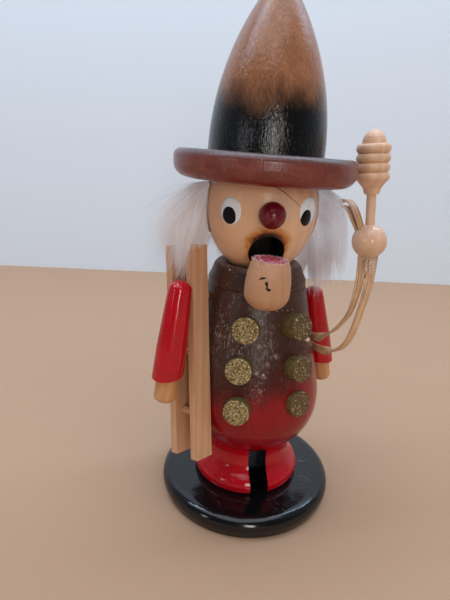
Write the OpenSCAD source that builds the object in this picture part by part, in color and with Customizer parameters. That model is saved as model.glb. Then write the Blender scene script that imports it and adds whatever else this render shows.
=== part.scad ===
// Turned wooden incense smoker: a chimney sweep with ladder, pipe, brush and cane coil.
// Origin at the middle of the underside of the base, +Z up, the figure's front towards -Y.
// The upper figure is hollow and lifts off the spigot of the legs to take an incense cone.

/* [Base] */
// Largest radius of the round base
base_r = 33; // [31.5:0.5:40]
// Thickness of the base
base_h = 7.6; // [6:0.2:12]
// How far the base draws in towards its underside
base_draft = 1.2; // [0.4:0.2:2.4]
// Rounding of the base's upper edge
base_round = 1.8; // [0.6:0.2:2.6]

/* [Legs] */
// Radius of the shoes where they stand on the base
shoe_r = 20; // [18:0.5:23]
// Height of the upright edge of the shoes
shoe_edge_h = 3; // [1.5:0.5:5]
// Radius of the waist above the shoes
waist_r = 15.5; // [14.8:0.1:16.4]
// Height of the waist above the base
waist_h = 12.4; // [9:0.2:14]
// Height from the base to the shoulder that carries the coat
legs_h = 17.4; // [15:0.2:24]
// Width of the slot that parts the legs
leg_gap = 6.6; // [4:0.2:9]
// Wood left between the slot and the shoulder
crotch_wall = 1; // [0.8:0.2:3]
// Radius of the foot dowels
foot_dowel_r = 2; // [1.5:0.25:3]
// Length of the foot dowels
foot_dowel_len = 10; // [7:0.5:11]
// Distance of each foot dowel from the middle
foot_dowel_x = 11; // [8:0.5:14]

/* [Spigot and incense plate] */
// Radius of the spigot that carries the upper figure
spigot_r = 13; // [11:0.25:13.5]
// Height of the spigot above the shoulder
spigot_h = 10; // [6:0.5:14]
// Radius of each air hole beside the incense plate
air_hole_r = 1.6; // [1:0.1:1.9]
// Distance of each air hole from the middle
air_hole_y = 10.2; // [9.8:0.1:10.4]
// Radius of the pressed incense plate
plate_r = 7.6; // [6:0.2:8]
// Thickness of the plate's sheet
plate_t = 0.5; // [0.4:0.1:0.8]
// Height of the plate's rim
plate_rim_h = 1.6; // [1:0.2:3]
// Radius of the tack's shank
tack_r = 0.8; // [0.6:0.1:1.2]
// Length of the tack's shank under the plate
tack_len = 6; // [4:0.5:8]

/* [Coat] */
// Radius of the belly
belly_r = 25.4; // [24.6:0.2:25.6]
// Height of the belly's widest place above the shoulder
belly_h = 16.2; // [14:0.2:18]
// Radius of the coat's lower edge
hem_r = 17.5; // [16.8:0.1:18.5]
// Radius of the curve that leads the belly into the chest
chest_round = 38; // [25:1:45]
// Radius under the collar
neck_r = 17.4; // [16.8:0.1:17.8]
// Height from the shoulder to the groove under the collar
chest_h = 58.6; // [56:0.2:60]
// Depth of the turned groove under the collar
groove_d = 0.5; // [0.2:0.1:0.9]
// Radius of the collar's rim
collar_r = 13.7; // [13.2:0.1:14.4]
// Height of the collar above the groove
collar_h = 7.5; // [6.5:0.1:7.6]
// Wall of the collar at its rim
collar_wall = 1.1; // [0.6:0.1:1.6]
// Height of the cup's floor above the groove
cup_floor_h = 4.4; // [3:0.2:5]
// Height of the smoke chamber above the shoulder
chamber_h = 45; // [38:1:47]
// Radius of the smoke channel in the neck
neck_bore_r = 4; // [3:0.25:4.5]

/* [Buttons] */
// Radius of the button plugs
button_r = 4.4; // [3.6:0.1:4.8]
// How far a button stands out of the coat at its middle
button_out = 3.2; // [2:0.2:4.5]
// Depth of a button's seat in the coat
button_in = 1.6; // [1:0.2:2.4]
// Angle of the two button rows from the front
button_angle = 24.5; // [22:0.5:34]
// Height of the lowest buttons above the shoulder
button_low_h = 21.2; // [18:0.2:22]
// Height from each button to the next
button_pitch = 13.2; // [11:0.2:14]

/* [Head] */
// Largest radius of the head
head_r = 18.6; // [17.6:0.1:19]
// Half the height of the head's full egg shape
head_half_h = 22.8; // [22:0.1:23.4]
// Height of the head's middle above the cup's floor
head_mid_h = 21.8; // [21.4:0.1:22]
// Turn of the head to the figure's right
head_turn = 7; // [0:0.5:14]
// Radius of the tenon under the head
tenon_r = 6; // [5:0.25:6.5]
// Length of the tenon under the head
tenon_len = 8; // [5:0.5:9]
// Radius of the smoke bore in the head
head_bore_r = 3.4; // [2.5:0.2:4]
// Radius of the mouth
mouth_r = 5.7; // [4.8:0.1:6]
// Height of the mouth's middle above the cup's floor
mouth_h = 9; // [8.9:0.1:10]
// Radius of the nose bead
nose_r = 4.1; // [3:0.1:4.6]
// Height of the nose above the cup's floor
nose_h = 21.4; // [20.5:0.1:22]
// Radius of the peg behind the nose
nose_peg_r = 1.4; // [1:0.1:1.8]

/* [Hat] */
// Height of the brim's underside above the cup's floor
hat_h = 30; // [29.2:0.1:31]
// Sideways tilt of the hat
hat_tilt = 1.9; // [0:0.1:3]
// Direction in which the hat's tilt is seen square on
hat_tilt_heading = 17; // [0:1:40]
// Radius of the brim
brim_r = 29.9; // [27:0.1:30.4]
// Thickness of the brim
brim_t = 8.8; // [6:0.2:9.4]
// How far the brim's lower rounding reaches inwards
brim_round_in = 4.5; // [3:0.5:9]
// Rounding of the brim's upper edge
brim_edge = 2.4; // [1.2:0.2:3]
// Radius of the crown where it meets the brim
crown_r = 19; // [16:0.2:21]
// Radius of the arc that draws the crown to its tip
crown_arc = 81; // [76:1:100]
// Height of the crown
crown_h = 48.6; // [44:0.2:50]
// Radius of the peg under the crown
crown_peg_r = 5; // [4:0.25:6]
// Length of that peg below the brim
crown_peg_in = 6; // [4:0.5:7]

/* [Pipe] */
// Largest radius of the pipe bowl
bowl_r = 6.8; // [5.6:0.1:7]
// Radius of the bowl's mouth
bowl_top_r = 5.4; // [4.4:0.1:5.6]
// Height of the bowl
bowl_h = 15; // [13:0.5:15.5]
// Distance of the bowl's middle from the figure's axis
bowl_reach = 27.4; // [26:0.2:31]
// Direction of the pipe from the front, to the figure's right
pipe_turn = 10.8; // [7:0.2:13]
// Sideways lean of the bowl
bowl_lean = 3; // [0:0.5:6]
// Radius of the pipe stem
stem_r = 1.3; // [1:0.1:1.6]

/* [Arms] */
// Length of a sleeve
sleeve_len = 31.5; // [28:0.5:33]
// Radius of a sleeve below its rounded top
sleeve_top_r = 3.8; // [3.4:0.1:4]
// Radius of a sleeve at its cuff
sleeve_cuff_r = 5.1; // [4.6:0.1:5.2]
// Radius of a hand
hand_r = 3.6; // [3:0.1:4.1]
// How far a hand shows below its cuff
hand_out = 9; // [6:0.5:10]
// Radius of the shoulder pegs
shoulder_peg_r = 1.3; // [1:0.1:1.5]
// Slant of the cuff's cut
cuff_slant = 14; // [0:1:18]

/* [Ladder] */
// Length of the ladder's rails
rail_len = 71; // [67:1:72]
// Thickness of a rail
rail_t = 2.9; // [2.4:0.1:3]
// Depth of a rail
rail_d = 7; // [6:0.1:7.1]
// Distance between the middles of the rails
rail_pitch = 9.6; // [9.5:0.1:11]
// Radius of the rungs
rung_r = 1.25; // [1:0.05:1.4]
// Height of the first rung above the rails' feet
rung_first = 14.8; // [12:0.2:17]
// Distance from one rung to the next
rung_pitch = 20.6; // [20.4:0.1:21]
// Depth of a rung's seat in a rail
rung_in = 1.5; // [1:0.1:2]

/* [Brush and cane] */
// Radius of the ball
ball_r = 6; // [5.6:0.1:6.5]
// Radius of the brush over its rings
brush_r = 5.6; // [5:0.1:6.1]
// Height of one ring of the brush
ring_h = 3; // [2.8:0.1:3.6]
// Radius of the brush stick
stick_r = 1.6; // [1.3:0.1:1.9]
// Length of the stick between the ball and the brush
stick_len = 10; // [7:0.2:11]
// Width of the flat cane
cane_w = 2.8; // [2:0.1:3]
// Thickness of the flat cane
cane_t = 0.8; // [0.6:0.1:0.9]

/* [Fits] */
// Running clearance of the spigot in the coat
spigot_fit = 0.08; // [0.04:0.02:0.1]
// Glue clearance round pegs, tenons and rungs
glue_fit = 0.05; // [0.02:0.01:0.1]
// Clearance of the pipe stem from the floor of the mouth
stem_fit = 0.15; // [0.1:0.01:0.2]
// Clearance round the cane in the ball
cane_fit = 0.2; // [0.1:0.02:0.3]
// Room left beyond the end of a peg
end_room = 0.2; // [0.1:0.05:0.5]
// Clearance of the hair from the wood
hair_fit = 0.4; // [0.3:0.1:0.8]

/* [Hidden] */
$fn = 96;
cut = 0.5;          // how far a cutting shape runs past a face
arc_steps = 14;     // straight pieces in one arc of a turned outline

seat_z = base_h + legs_h;              // shoulder that carries the coat
spigot_top = seat_z + spigot_h;
groove_z = seat_z + chest_h;
collar_z = groove_z + collar_h;
cup_z = groove_z + cup_floor_h;        // floor of the collar's cup, seat of the head
hat_z = cup_z + hat_h;
mouth_z = cup_z + mouth_h;
chamber_r = spigot_r + spigot_fit;
bore_tip = tan(31);                    // slope of a drill's point

// Where the pieces that are put on by hand sit: round numbers
shoulder_right = [-28.5, -13.2, 88];
cuff_right = [-33, -15.9, 56.6];
shoulder_left = [23.6, 4.6, 79.6];
cuff_left = [30.7, 6, 48.2];
ladder_foot = [-25.1, -19.1, 28.1];
ladder_turn = [8.5, 12, 127.2];
ball_at = [37.9, -6.8, 99.3];
brush_lean = [-3, -4, 0];
// How far each button is off its row, in degrees: right row and left row, from the lowest up
button_drift = [[0.5, 1.5, -1], [-1.2, -1, -1]];
// How much further than the rest each button stands out, and how much higher it sits
button_more = [[0, 0, 0], [-1.2, 0.8, 1.6]];
button_lift = [[0, 0, 0], [0.8, -0.2, 0.6]];

function polar(r, a) = [r * cos(a), r * sin(a)];
function arc(c, r, a0, a1, n = arc_steps) = [for (i = [0:n]) c + polar(r, a0 + (a1 - a0) * i / n)];
function mix(a, b, t) = a + (b - a) * t;
// Heading of a direction that lies th degrees from the front towards the figure's left
function heading(th) = th - 90;

// Places +Z of the children along the line from one point to another
module along(from, to) {
    d = to - from;
    flat = norm([d[0], d[1]]);
    translate(from) rotate([0, atan2(flat, d[2]), atan2(d[1], d[0])]) children();
}

// Places +X of the children outwards at a heading, out from a place at radius r, tipped up
module facing(th, r, z, tip = 0) {
    rotate([0, 0, heading(th)]) translate([r, 0, z]) rotate([0, -tip, 0]) children();
}

// Base: a turned disc with a rounded edge, bored for the foot dowels

dowel_top = base_h + foot_dowel_len / 2;

module foot_dowel_places() {
    for (side = [-1, 1]) translate([side * foot_dowel_x, 0, 0]) children();
}

module base_disc() {
    color("#141415") difference() {
        rotate_extrude($fn = 160) polygon(concat(
            [[0, 0], [base_r - base_draft, 0], [base_r, base_h * 0.62]],
            arc([base_r - base_round, base_h - base_round], base_round, 0, 90),
            [[0, base_h]]));
        foot_dowel_places()
            translate([0, 0, base_h - foot_dowel_len / 2 - end_room])
                cylinder(r = foot_dowel_r + glue_fit, h = foot_dowel_len, $fn = 32);
    }
}

module foot_dowels() {
    color("#C99E6E") foot_dowel_places()
        translate([0, 0, base_h - foot_dowel_len / 2])
            cylinder(r = foot_dowel_r, h = foot_dowel_len, $fn = 32);
}

// Legs: one turned piece, slotted from front to back, with the spigot on top

cove_rise = waist_h - shoe_edge_h;
cove_r = ((shoe_r - waist_r) * (shoe_r - waist_r) + cove_rise * cove_rise) / (2 * (shoe_r - waist_r));

module legs() {
    shoe_top = base_h + shoe_edge_h;
    cove_mid = [waist_r + cove_r, base_h + waist_h];
    cove_end = asin(cove_rise / cove_r);
    color("#B01226") difference() {
        rotate_extrude($fn = 128) polygon(concat(
            [[0, base_h], [shoe_r - 0.8, base_h], [shoe_r, base_h + 0.8]],
            [[shoe_r, shoe_top]],
            arc(cove_mid, cove_r, 180 + cove_end, 180),
            [[waist_r + 0.5, seat_z], [spigot_r, seat_z], [spigot_r, spigot_top - 0.8],
                [spigot_r - 0.8, spigot_top], [0, spigot_top]]));
        // slot between the legs
        translate([-leg_gap / 2, -shoe_r - cut, base_h - cut])
            cube([leg_gap, 2 * shoe_r + 2 * cut, legs_h - crotch_wall + cut]);
        // air holes from the slot up past the incense plate
        for (side = [-1, 1]) translate([0, side * air_hole_y, seat_z - crotch_wall - cut])
            cylinder(r = air_hole_r, h = spigot_h + crotch_wall + 2 * cut, $fn = 32);
        foot_dowel_places() translate([0, 0, base_h - cut])
            cylinder(r = foot_dowel_r + glue_fit, h = cut + foot_dowel_len / 2 + end_room, $fn = 32);
        // hole for the tack
        translate([0, 0, spigot_top - tack_len - end_room])
            cylinder(r = tack_r + glue_fit, h = tack_len + end_room + cut, $fn = 24);
    }
}

// Incense plate: a pressed metal dish, held by one tack

module incense_plate() {
    color("#8C8C8A") translate([0, 0, spigot_top]) rotate_extrude($fn = 72) polygon([
        [tack_r + glue_fit, 0], [plate_r - 1.2, 0], [plate_r, plate_rim_h],
        [plate_r - plate_t, plate_rim_h], [plate_r - 1.2 - plate_t * 0.8, plate_t],
        [tack_r + glue_fit, plate_t]]);
}

module plate_tack() {
    head_r2 = tack_r * 2.4;
    color("#B9B7B2") translate([0, 0, spigot_top]) rotate_extrude($fn = 32) polygon([
        [0, -tack_len], [tack_r, -tack_len + tack_r * 1.6], [tack_r, plate_t],
        [head_r2, plate_t], [head_r2 * 0.9, plate_t + 0.3], [head_r2 * 0.5, plate_t + 0.6],
        [0, plate_t + 0.7]]);
}

// Coat: hollow turned upper body with belly, chest and collar

belly_z = seat_z + belly_h;
hem_step = belly_r - hem_r;
hem_arc = (hem_step * hem_step + belly_h * belly_h) / (2 * hem_step);
chest_run = chest_h - belly_h;
// slope of the straight chest, from the end of the rounding to the groove
chest_reach = [neck_r - belly_r + chest_round, chest_run];
chest_slope = atan2(chest_reach[1], chest_reach[0]) - acos(chest_round / norm(chest_reach));
chest_foot = [belly_r - chest_round * (1 - cos(chest_slope)), belly_z + chest_round * sin(chest_slope)];
// Radius of the straight chest, and of the belly's rounding below it, at a height
function chest_r(z) = z > chest_foot[1]
    ? mix(chest_foot[0], neck_r, (z - chest_foot[1]) / (groove_z - chest_foot[1]))
    : belly_r - chest_round + sqrt(chest_round * chest_round - (z - belly_z) * (z - belly_z));
function chest_tip(z) = z > chest_foot[1] ? chest_slope : asin((z - belly_z) / chest_round);

module coat_solid() {
    collar_steps = [[neck_r - groove_d, groove_z], [neck_r - 0.2, groove_z + 0.6],
        [neck_r - 0.3, groove_z + 2], [neck_r - 1.3, groove_z + 4], [neck_r - 2.2, collar_z - 1.2],
        [collar_r + 0.6, collar_z - 0.2], [collar_r, collar_z]];
    rotate_extrude($fn = 160) polygon(concat(
        [[chamber_r, seat_z]],
        arc([belly_r - hem_arc, belly_z], hem_arc, -asin(belly_h / hem_arc), 0),
        arc([belly_r - chest_round, belly_z], chest_round, 1, chest_slope, 6),
        [[neck_r, groove_z - 0.5]],
        collar_steps,
        [[collar_r - collar_wall, collar_z], [tenon_r + 3.4, cup_z + 1.4], [tenon_r + 0.6, cup_z],
            [tenon_r + glue_fit, cup_z], [tenon_r + glue_fit, cup_z - tenon_len - end_room],
            [neck_bore_r, cup_z - tenon_len - end_room],
            [neck_bore_r, seat_z + chamber_h + (chamber_r - neck_bore_r) * bore_tip],
            [chamber_r, seat_z + chamber_h]]));
}

module coat() {
    color("#5A2A28") difference() {
        coat_solid();
        for (side = [-1, 1], row = [0:2]) button_place(side, row)
            translate([-button_in, 0, 0]) rotate([0, 90, 0])
                cylinder(r = button_r + glue_fit, h = 12, $fn = 48);
        shoulder_peg_place_right()
            cylinder(r = shoulder_peg_r + glue_fit, h = peg_len_right, $fn = 32);
        shoulder_peg_place_left()
            cylinder(r = shoulder_peg_r + glue_fit, h = peg_len_left, $fn = 32);
    }
}

// Buttons: six dowel plugs in two rows, square to the coat

module button_place(side, row) {
    z = seat_z + button_low_h + row * button_pitch + button_lift[side > 0 ? 1 : 0][row];
    drift = button_drift[side > 0 ? 1 : 0][row];
    facing(side * (button_angle + drift), chest_r(z), z, chest_tip(z)) children();
}

module button(side, row) {
    long = button_in + button_out + button_more[side > 0 ? 1 : 0][row];
    color("#A58E57") button_place(side, row)
        translate([-button_in + end_room, 0, 0]) rotate([0, 90, 0]) rotate_extrude($fn = 48) polygon([
            [0, 0], [button_r, 0], [button_r, long - 0.4], [button_r - 0.3, long], [0, long]]);
}

module button_right_low() { button(-1, 0); }
module button_right_mid() { button(-1, 1); }
module button_right_high() { button(-1, 2); }
module button_left_low() { button(1, 0); }
module button_left_mid() { button(1, 1); }
module button_left_high() { button(1, 2); }

// Head: an egg with a tenon, bored for smoke, mouth, nose and hat

head_z = cup_z + head_mid_h;
function head_r_at(z) = head_r * sqrt(max(0, 1 - (z - head_z) * (z - head_z) / (head_half_h * head_half_h)));
// where the egg's outline starts on the cup's floor, and where it ends above the hat's seat
foot_angle = -asin((head_z - cup_z) / head_half_h);
head_top_angle = 62;

module in_head() { rotate([0, 0, -head_turn]) children(); }

module head() {
    color("#C9A077") difference() {
        rotate_extrude($fn = 128) polygon(concat(
            [[head_bore_r, cup_z - tenon_len], [tenon_r - 0.4, cup_z - tenon_len],
                [tenon_r, cup_z - tenon_len + 0.5], [tenon_r, cup_z]],
            [for (i = [0:40]) let (a = mix(foot_angle, head_top_angle, i / 40))
                [max(head_r * cos(a), tenon_r), head_z + head_half_h * sin(a)]],
            [[0, head_z + head_half_h * sin(head_top_angle)], [0, mouth_z + mouth_r * 0.6],
                [head_bore_r, mouth_z + mouth_r * 0.3]]));
        // flat seat of the brim
        hat_place() translate([0, 0, 10 - glue_fit]) cube([60, 60, 20], center = true);
        // mouth, meeting the smoke bore
        in_head() translate([0, 0, mouth_z]) rotate([90, 0, 0])
            translate([0, 0, -head_bore_r - 1]) cylinder(r = mouth_r, h = head_r + 4, $fn = 64);
        // socket of the nose bead and its peg
        nose_place() sphere(r = nose_r + glue_fit, $fn = 48);
        nose_place() translate([0, 0, -nose_peg_len - end_room])
            cylinder(r = nose_peg_r + glue_fit, h = nose_peg_len, $fn = 24);
        hat_place() translate([0, 0, -crown_peg_in - end_room])
            cylinder(r = crown_peg_r + glue_fit, h = crown_peg_in + 1, $fn = 48);
    }
}

nose_z = cup_z + nose_h;
nose_peg_len = 9;       // from the middle of the bead to the end of its peg
module nose_place() {
    in_head() translate([0, -head_r_at(nose_z) - nose_r * 0.3, nose_z]) rotate([90, 0, 0]) children();
}

module nose() {
    color("#6E1420") nose_place() {
        sphere(r = nose_r, $fn = 48);
        translate([0, 0, -nose_peg_len]) cylinder(r = nose_peg_r, h = nose_peg_len, $fn = 24);
    }
}

// Hat: brim and crown, set a little askew on the head's flat

module hat_place() {
    translate([0, 0, hat_z]) rotate([0, 0, -hat_tilt_heading]) rotate([0, hat_tilt, 0]) children();
}

module hat_brim() {
    low = [for (i = [0:arc_steps]) let (a = mix(-90, 0, i / arc_steps))
        [brim_r - brim_round_in + brim_round_in * cos(a), 0.7 * (brim_t - brim_edge) * (1 + sin(a))]];
    color("#7A3B34") hat_place() rotate_extrude($fn = 160) polygon(concat(
        [[crown_peg_r + glue_fit, 0]], low,
        arc([brim_r - brim_edge, brim_t - brim_edge], brim_edge, 0, 90, 8),
        [[crown_peg_r + glue_fit, brim_t]]));
}

module hat_crown() {
    drop = crown_arc - crown_r;
    tip_r = 3;
    // height at which the long arc is as thin as the round tip
    join_z = sqrt(crown_arc * crown_arc - (drop + tip_r) * (drop + tip_r));
    side = [for (i = [0:22]) let (z = join_z * i / 22)
        [sqrt(crown_arc * crown_arc - z * z) - drop, z]];
    tip = [for (i = [1:6]) let (a = 90 * i / 6)
        [tip_r * cos(a), join_z + (crown_h - join_z) * sin(a)]];
    color("#4A342A") hat_place() translate([0, 0, brim_t]) rotate_extrude($fn = 128) polygon(concat(
        [[0, -brim_t - crown_peg_in], [crown_peg_r - 0.4, -brim_t - crown_peg_in],
            [crown_peg_r, -brim_t - crown_peg_in + 0.5], [crown_peg_r, 0]],
        side, tip));
}

// Hair: the space of the fur strip round the back of the head, under the brim

hair_from = 88;       // first heading of the strip, from the front to the figure's left
hair_to = 258;        // last heading, round the back to the figure's right
hair_out = 27;
hair_low = 99.5;

module hair_fringe() {
    top = hat_z - 1.4;
    color("#E9E6E4") rotate([0, 0, heading(hair_from)]) rotate_extrude(angle = hair_to - hair_from, $fn = 96)
        polygon(concat(
            [for (i = [0:6]) let (z = mix(hair_low, top, i / 6)) [head_r_at(z) + hair_fit, z]],
            [[hair_out - 3.5, top], [hair_out - 1, top - 3], [hair_out, hair_low + 7],
                [hair_out - 1.5, hair_low + 2], [hair_out - 4, hair_low]]));
}

// Pipe: bowl with a dished mouth, and a stem that lies in the corner of the mouth

stem_z = mouth_z - mouth_r + stem_r + stem_fit;
bowl_z = stem_z - 10;         // underside of the bowl
bowl_foot_r = bowl_r * 0.18;  // flat below the bowl
stem_in = 5.4;                // where the stem ends, from the figure's axis

module pipe_place() { rotate([0, 0, -pipe_turn]) translate([0, -bowl_reach, bowl_z]) children(); }

module pipe_stem_shape(r, extra = 0) {
    rotate([0, 0, -pipe_turn]) translate([0, -stem_in, stem_z]) rotate([90, 0, 0])
        cylinder(r = r, h = bowl_reach - bowl_top_r + 2 - stem_in + extra, $fn = 32);
}

module pipe_bowl() {
    color("#C4946A") difference() {
        pipe_place() rotate([0, bowl_lean, 0]) rotate_extrude($fn = 72) polygon(concat(
            [[0, 0]],
            [for (i = [0:8]) let (a = mix(-90, -8, i / 8))
                [bowl_foot_r + (bowl_r - bowl_foot_r) * cos(a), 5 + 5 * sin(a)]],
            [[bowl_r, 6], [bowl_r * 0.99, 8.4], [bowl_r * 0.945, 11], [bowl_r * 0.87, 13.4],
                [bowl_top_r, bowl_h - 0.3], [bowl_top_r - 0.5, bowl_h],
                [bowl_top_r - 1, bowl_h - 0.5], [bowl_top_r - 2.2, bowl_h - 1], [0, bowl_h - 1.1]]));
        pipe_stem_shape(stem_r + glue_fit, end_room);
    }
}

module pipe_stem() { color("#B98A5E") pipe_stem_shape(stem_r); }

// Arms: lacquered sleeve, hand dowel glued into it, and the peg at the shoulder

hand_in = 9;          // length of the hand inside the sleeve

module sleeve(from, to, slant_turn) {
    cap = sleeve_top_r * 0.75;
    body = [for (i = [0:8]) let (a = mix(90, 0, i / 8)) [sleeve_top_r * cos(a), cap - cap * sin(a)]];
    color("#B01226") difference() {
        along(from, to) rotate_extrude($fn = 64) polygon(concat(
            body, [[sleeve_cuff_r - 0.15, sleeve_len * 0.7], [sleeve_cuff_r, sleeve_len + 2],
                [0, sleeve_len + 2]]));
        // slanting cut of the cuff
        along(from, to) rotate([0, 0, slant_turn]) translate([0, 0, sleeve_len]) rotate([0, cuff_slant, 0])
            translate([0, 0, 5]) cube([30, 30, 10], center = true);
        // socket of the hand
        along(from, to) translate([0, 0, sleeve_len - hand_in - end_room])
            cylinder(r = hand_r + glue_fit, h = hand_in + 4, $fn = 48);
    }
}

module hand(from, to) {
    tip = 1.6;
    color("#C58F5E") along(from, to) translate([0, 0, sleeve_len - hand_in]) rotate_extrude($fn = 48)
        polygon(concat([[0, 0], [hand_r, 0]],
            [for (i = [0:6]) let (a = 90 * i / 6)
                [hand_r - tip + tip * cos(a), hand_in + hand_out - tip + tip * sin(a)]],
            [[0, hand_in + hand_out]]));
}

// The right peg passes between the ladder's rails, under its top rung
peg_z_right = 79.4;
peg_at_right = [-24.4, -7, peg_z_right];      // between the rails
peg_heading_right = 215.5;                    // out of the coat towards the sleeve
peg_back_right = 11.3;                        // from that place into the coat's wall
peg_len_right = 17.9;
peg_z_left = 75;
peg_from_left = 15;                           // distance of its inner end from the axis
peg_heading_left = 11;
peg_len_left = 10.5;

module shoulder_peg_place_right() {
    translate(peg_at_right) rotate([0, 0, peg_heading_right]) translate([-peg_back_right, 0, 0])
        rotate([0, 90, 0]) children();
}
module shoulder_peg_place_left() {
    rotate([0, 0, peg_heading_left]) translate([peg_from_left, 0, peg_z_left]) rotate([0, 90, 0]) children();
}

module sleeve_right() {
    difference() {
        sleeve(shoulder_right, cuff_right, 0);
        shoulder_peg_place_right()
            cylinder(r = shoulder_peg_r + glue_fit, h = peg_len_right + end_room, $fn = 32);
    }
}
module sleeve_left() {
    difference() {
        sleeve(shoulder_left, cuff_left, 0);
        shoulder_peg_place_left()
            cylinder(r = shoulder_peg_r + glue_fit, h = peg_len_left + end_room, $fn = 32);
    }
}
module hand_right() { hand(shoulder_right, cuff_right); }
module hand_left() { hand(shoulder_left, cuff_left); }
module shoulder_peg_right() {
    color("#C99E6E") shoulder_peg_place_right() translate([0, 0, end_room])
        cylinder(r = shoulder_peg_r, h = peg_len_right - end_room, $fn = 32);
}
module shoulder_peg_left() {
    color("#C99E6E") shoulder_peg_place_left() translate([0, 0, end_room])
        cylinder(r = shoulder_peg_r, h = peg_len_left - end_room, $fn = 32);
}

// Ladder: two flat rails with three rungs, hung on the right shoulder peg

module ladder_place() { translate(ladder_foot) rotate(ladder_turn) children(); }

module rail(side) {
    color("#B9855A") ladder_place() difference() {
        translate([side * rail_pitch / 2 - rail_t / 2, -rail_d / 2, 0]) cube([rail_t, rail_d, rail_len]);
        for (i = [0:2]) translate([side * (rail_pitch / 2 - rail_t / 2), 0, rung_first + i * rung_pitch])
            rotate([0, side * 90, 0]) translate([0, 0, -cut])
                cylinder(r = rung_r + glue_fit, h = rung_in + end_room + cut, $fn = 32);
    }
}

module rung(i) {
    half = rail_pitch / 2 - rail_t / 2 + rung_in;
    color("#B9855A") ladder_place() translate([-half, 0, rung_first + i * rung_pitch]) rotate([0, 90, 0])
        cylinder(r = rung_r, h = 2 * half, $fn = 32);
}

module ladder_rail_front() { rail(-1); }
module ladder_rail_rear() { rail(1); }
module ladder_rung_low() { rung(0); }
module ladder_rung_mid() { rung(1); }
module ladder_rung_high() { rung(2); }

// Sweep's brush: a turned ringed head on a stick, in the ball that joins the cane coil

stick_in = 3.5;       // length of the stick inside the ball, and inside the brush

module brush_place() { translate(ball_at) rotate(brush_lean) children(); }

module brush_head() {
    waist = brush_r - 1;
    cone_h = 4.2;
    tip_h = 4.6;
    rings = [for (i = [0:3], j = [0:6]) let (a = mix(-80, 80, j / 6))
        [waist + (brush_r - waist) * cos(a), cone_h + ring_h * (i + 0.5) + ring_h / 2 * sin(a)]];
    dome_r = brush_r - 1.7;
    dome = [for (i = [0:6]) let (a = 90 * i / 6) [dome_r * cos(a), cone_h + 4 * ring_h + tip_h * sin(a)]];
    color("#C99568") brush_place() translate([0, 0, ball_r + stick_len]) difference() {
        rotate_extrude($fn = 64) polygon(concat(
            [[0, 0], [stick_r + 0.8, 0], [stick_r + 1.5, cone_h * 0.5]], rings, dome));
        translate([0, 0, -cut]) cylinder(r = stick_r + glue_fit, h = stick_in + end_room + cut, $fn = 32);
    }
}

module brush_stick() {
    color("#C99568") brush_place() translate([0, 0, ball_r - stick_in])
        cylinder(r = stick_r, h = stick_len + 2 * stick_in, $fn = 32);
}

// Cane: two flat strands from under the ball, round the left arm and back into the ball's top
// Each row is a place on the strand's middle line and the direction that its flat side faces

to_front = [-0.29, -0.95, 0];
route_inner = [[[36.3, -6.9, 95.4], to_front], [[36.3, -7, 92.4], to_front],
    [[35.2, -8.6, 84], [0.1, -1, 0]], [[33, -9.8, 75.5], [0.5, -0.85, 0]],
    [[30, -10, 70.4], [0.6, -0.8, -0.2]], [[26.2, -9, 66.2], [0.75, -0.6, -0.1]],
    [[23.3, -6.5, 63.7], [0.93, -0.35, 0.1]], [[22.1, -2.7, 62.6], [1, -0.1, 0.21]],
    [[22.2, 2.5, 62.4], [1, 0.1, 0.21]], [[21.2, 7.8, 63.5], [0.94, 0.3, 0.2]],
    [[20.6, 13.2, 68], [0.8, 0.6, 0.1]], [[21, 17, 75], [0.6, 0.8, 0]],
    [[24.2, 18.2, 85], [0.3, 0.95, 0]], [[27.8, 16, 95.5], [0.1, 0.9, 0.4]],
    [[30.2, 11.4, 104.2], [0.1, 0.7, 0.7]], [[31.4, 5.6, 109.3], [0.1, 0.35, 0.93]],
    [[32.2, 0.6, 109.7], [0.1, -0.3, 0.95]], [[33, -2.9, 106.5], [0.2, -0.7, 0.68]],
    [[34.5, -5.3, 101.9], [0.3, -0.6, 0.72]]];
route_outer = [[[39.5, -7.9, 95.4], to_front], [[39.5, -8, 92.4], to_front],
    [[38.3, -9.8, 84], [0.1, -1, 0]], [[35.6, -11.6, 75], [0.5, -0.85, 0]],
    [[33, -12.4, 66.8], [0.6, -0.8, 0]], [[30.3, -12.2, 62], [0.65, -0.75, -0.2]],
    [[27, -10.4, 59.6], [0.75, -0.65, -0.1]], [[24.4, -6.9, 58.8], [0.93, -0.35, 0.1]],
    [[23.1, -2.8, 58.6], [1, -0.1, 0.21]], [[23.2, 2.6, 58.6], [1, 0.1, 0.21]],
    [[22.2, 8.4, 59.4], [0.94, 0.3, 0.2]], [[21.6, 14.8, 63], [0.8, 0.6, 0.1]],
    [[21.8, 20, 71], [0.6, 0.8, 0]], [[25.2, 22, 82.5], [0.3, 0.95, 0]],
    [[28.6, 20, 95], [0.1, 0.9, 0.4]], [[31, 14, 106], [0.1, 0.7, 0.7]],
    [[32.2, 7, 111.3], [0.1, 0.35, 0.93]], [[32.8, 0.6, 111.9], [0.1, -0.3, 0.95]],
    [[33.6, -3.8, 108.2], [0.2, -0.7, 0.68]], [[34.9, -6.1, 102.9], [0.3, -0.6, 0.72]]];

cane_steps = 4;
function unit(v) = v / norm(v);
// Smooth curve through the points p, at a place t counted in points
function on_curve(p, t) = let (n = len(p), i = min(floor(t), n - 2), u = t - i,
    a = p[max(i - 1, 0)], b = p[i], c = p[i + 1], d = p[min(i + 2, n - 1)])
    0.5 * (2 * b + (c - a) * u + (2 * a - 5 * b + 4 * c - d) * u * u + (3 * b - a - 3 * c + d) * u * u * u);
// Eight corners of the cane's flat section, round edges drawn with two bevels each
cane_section = [[-0.5, -0.25], [-0.42, -0.5], [0.42, -0.5], [0.5, -0.25],
    [0.5, 0.25], [0.42, 0.5], [-0.42, 0.5], [-0.5, 0.25]];

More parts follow.
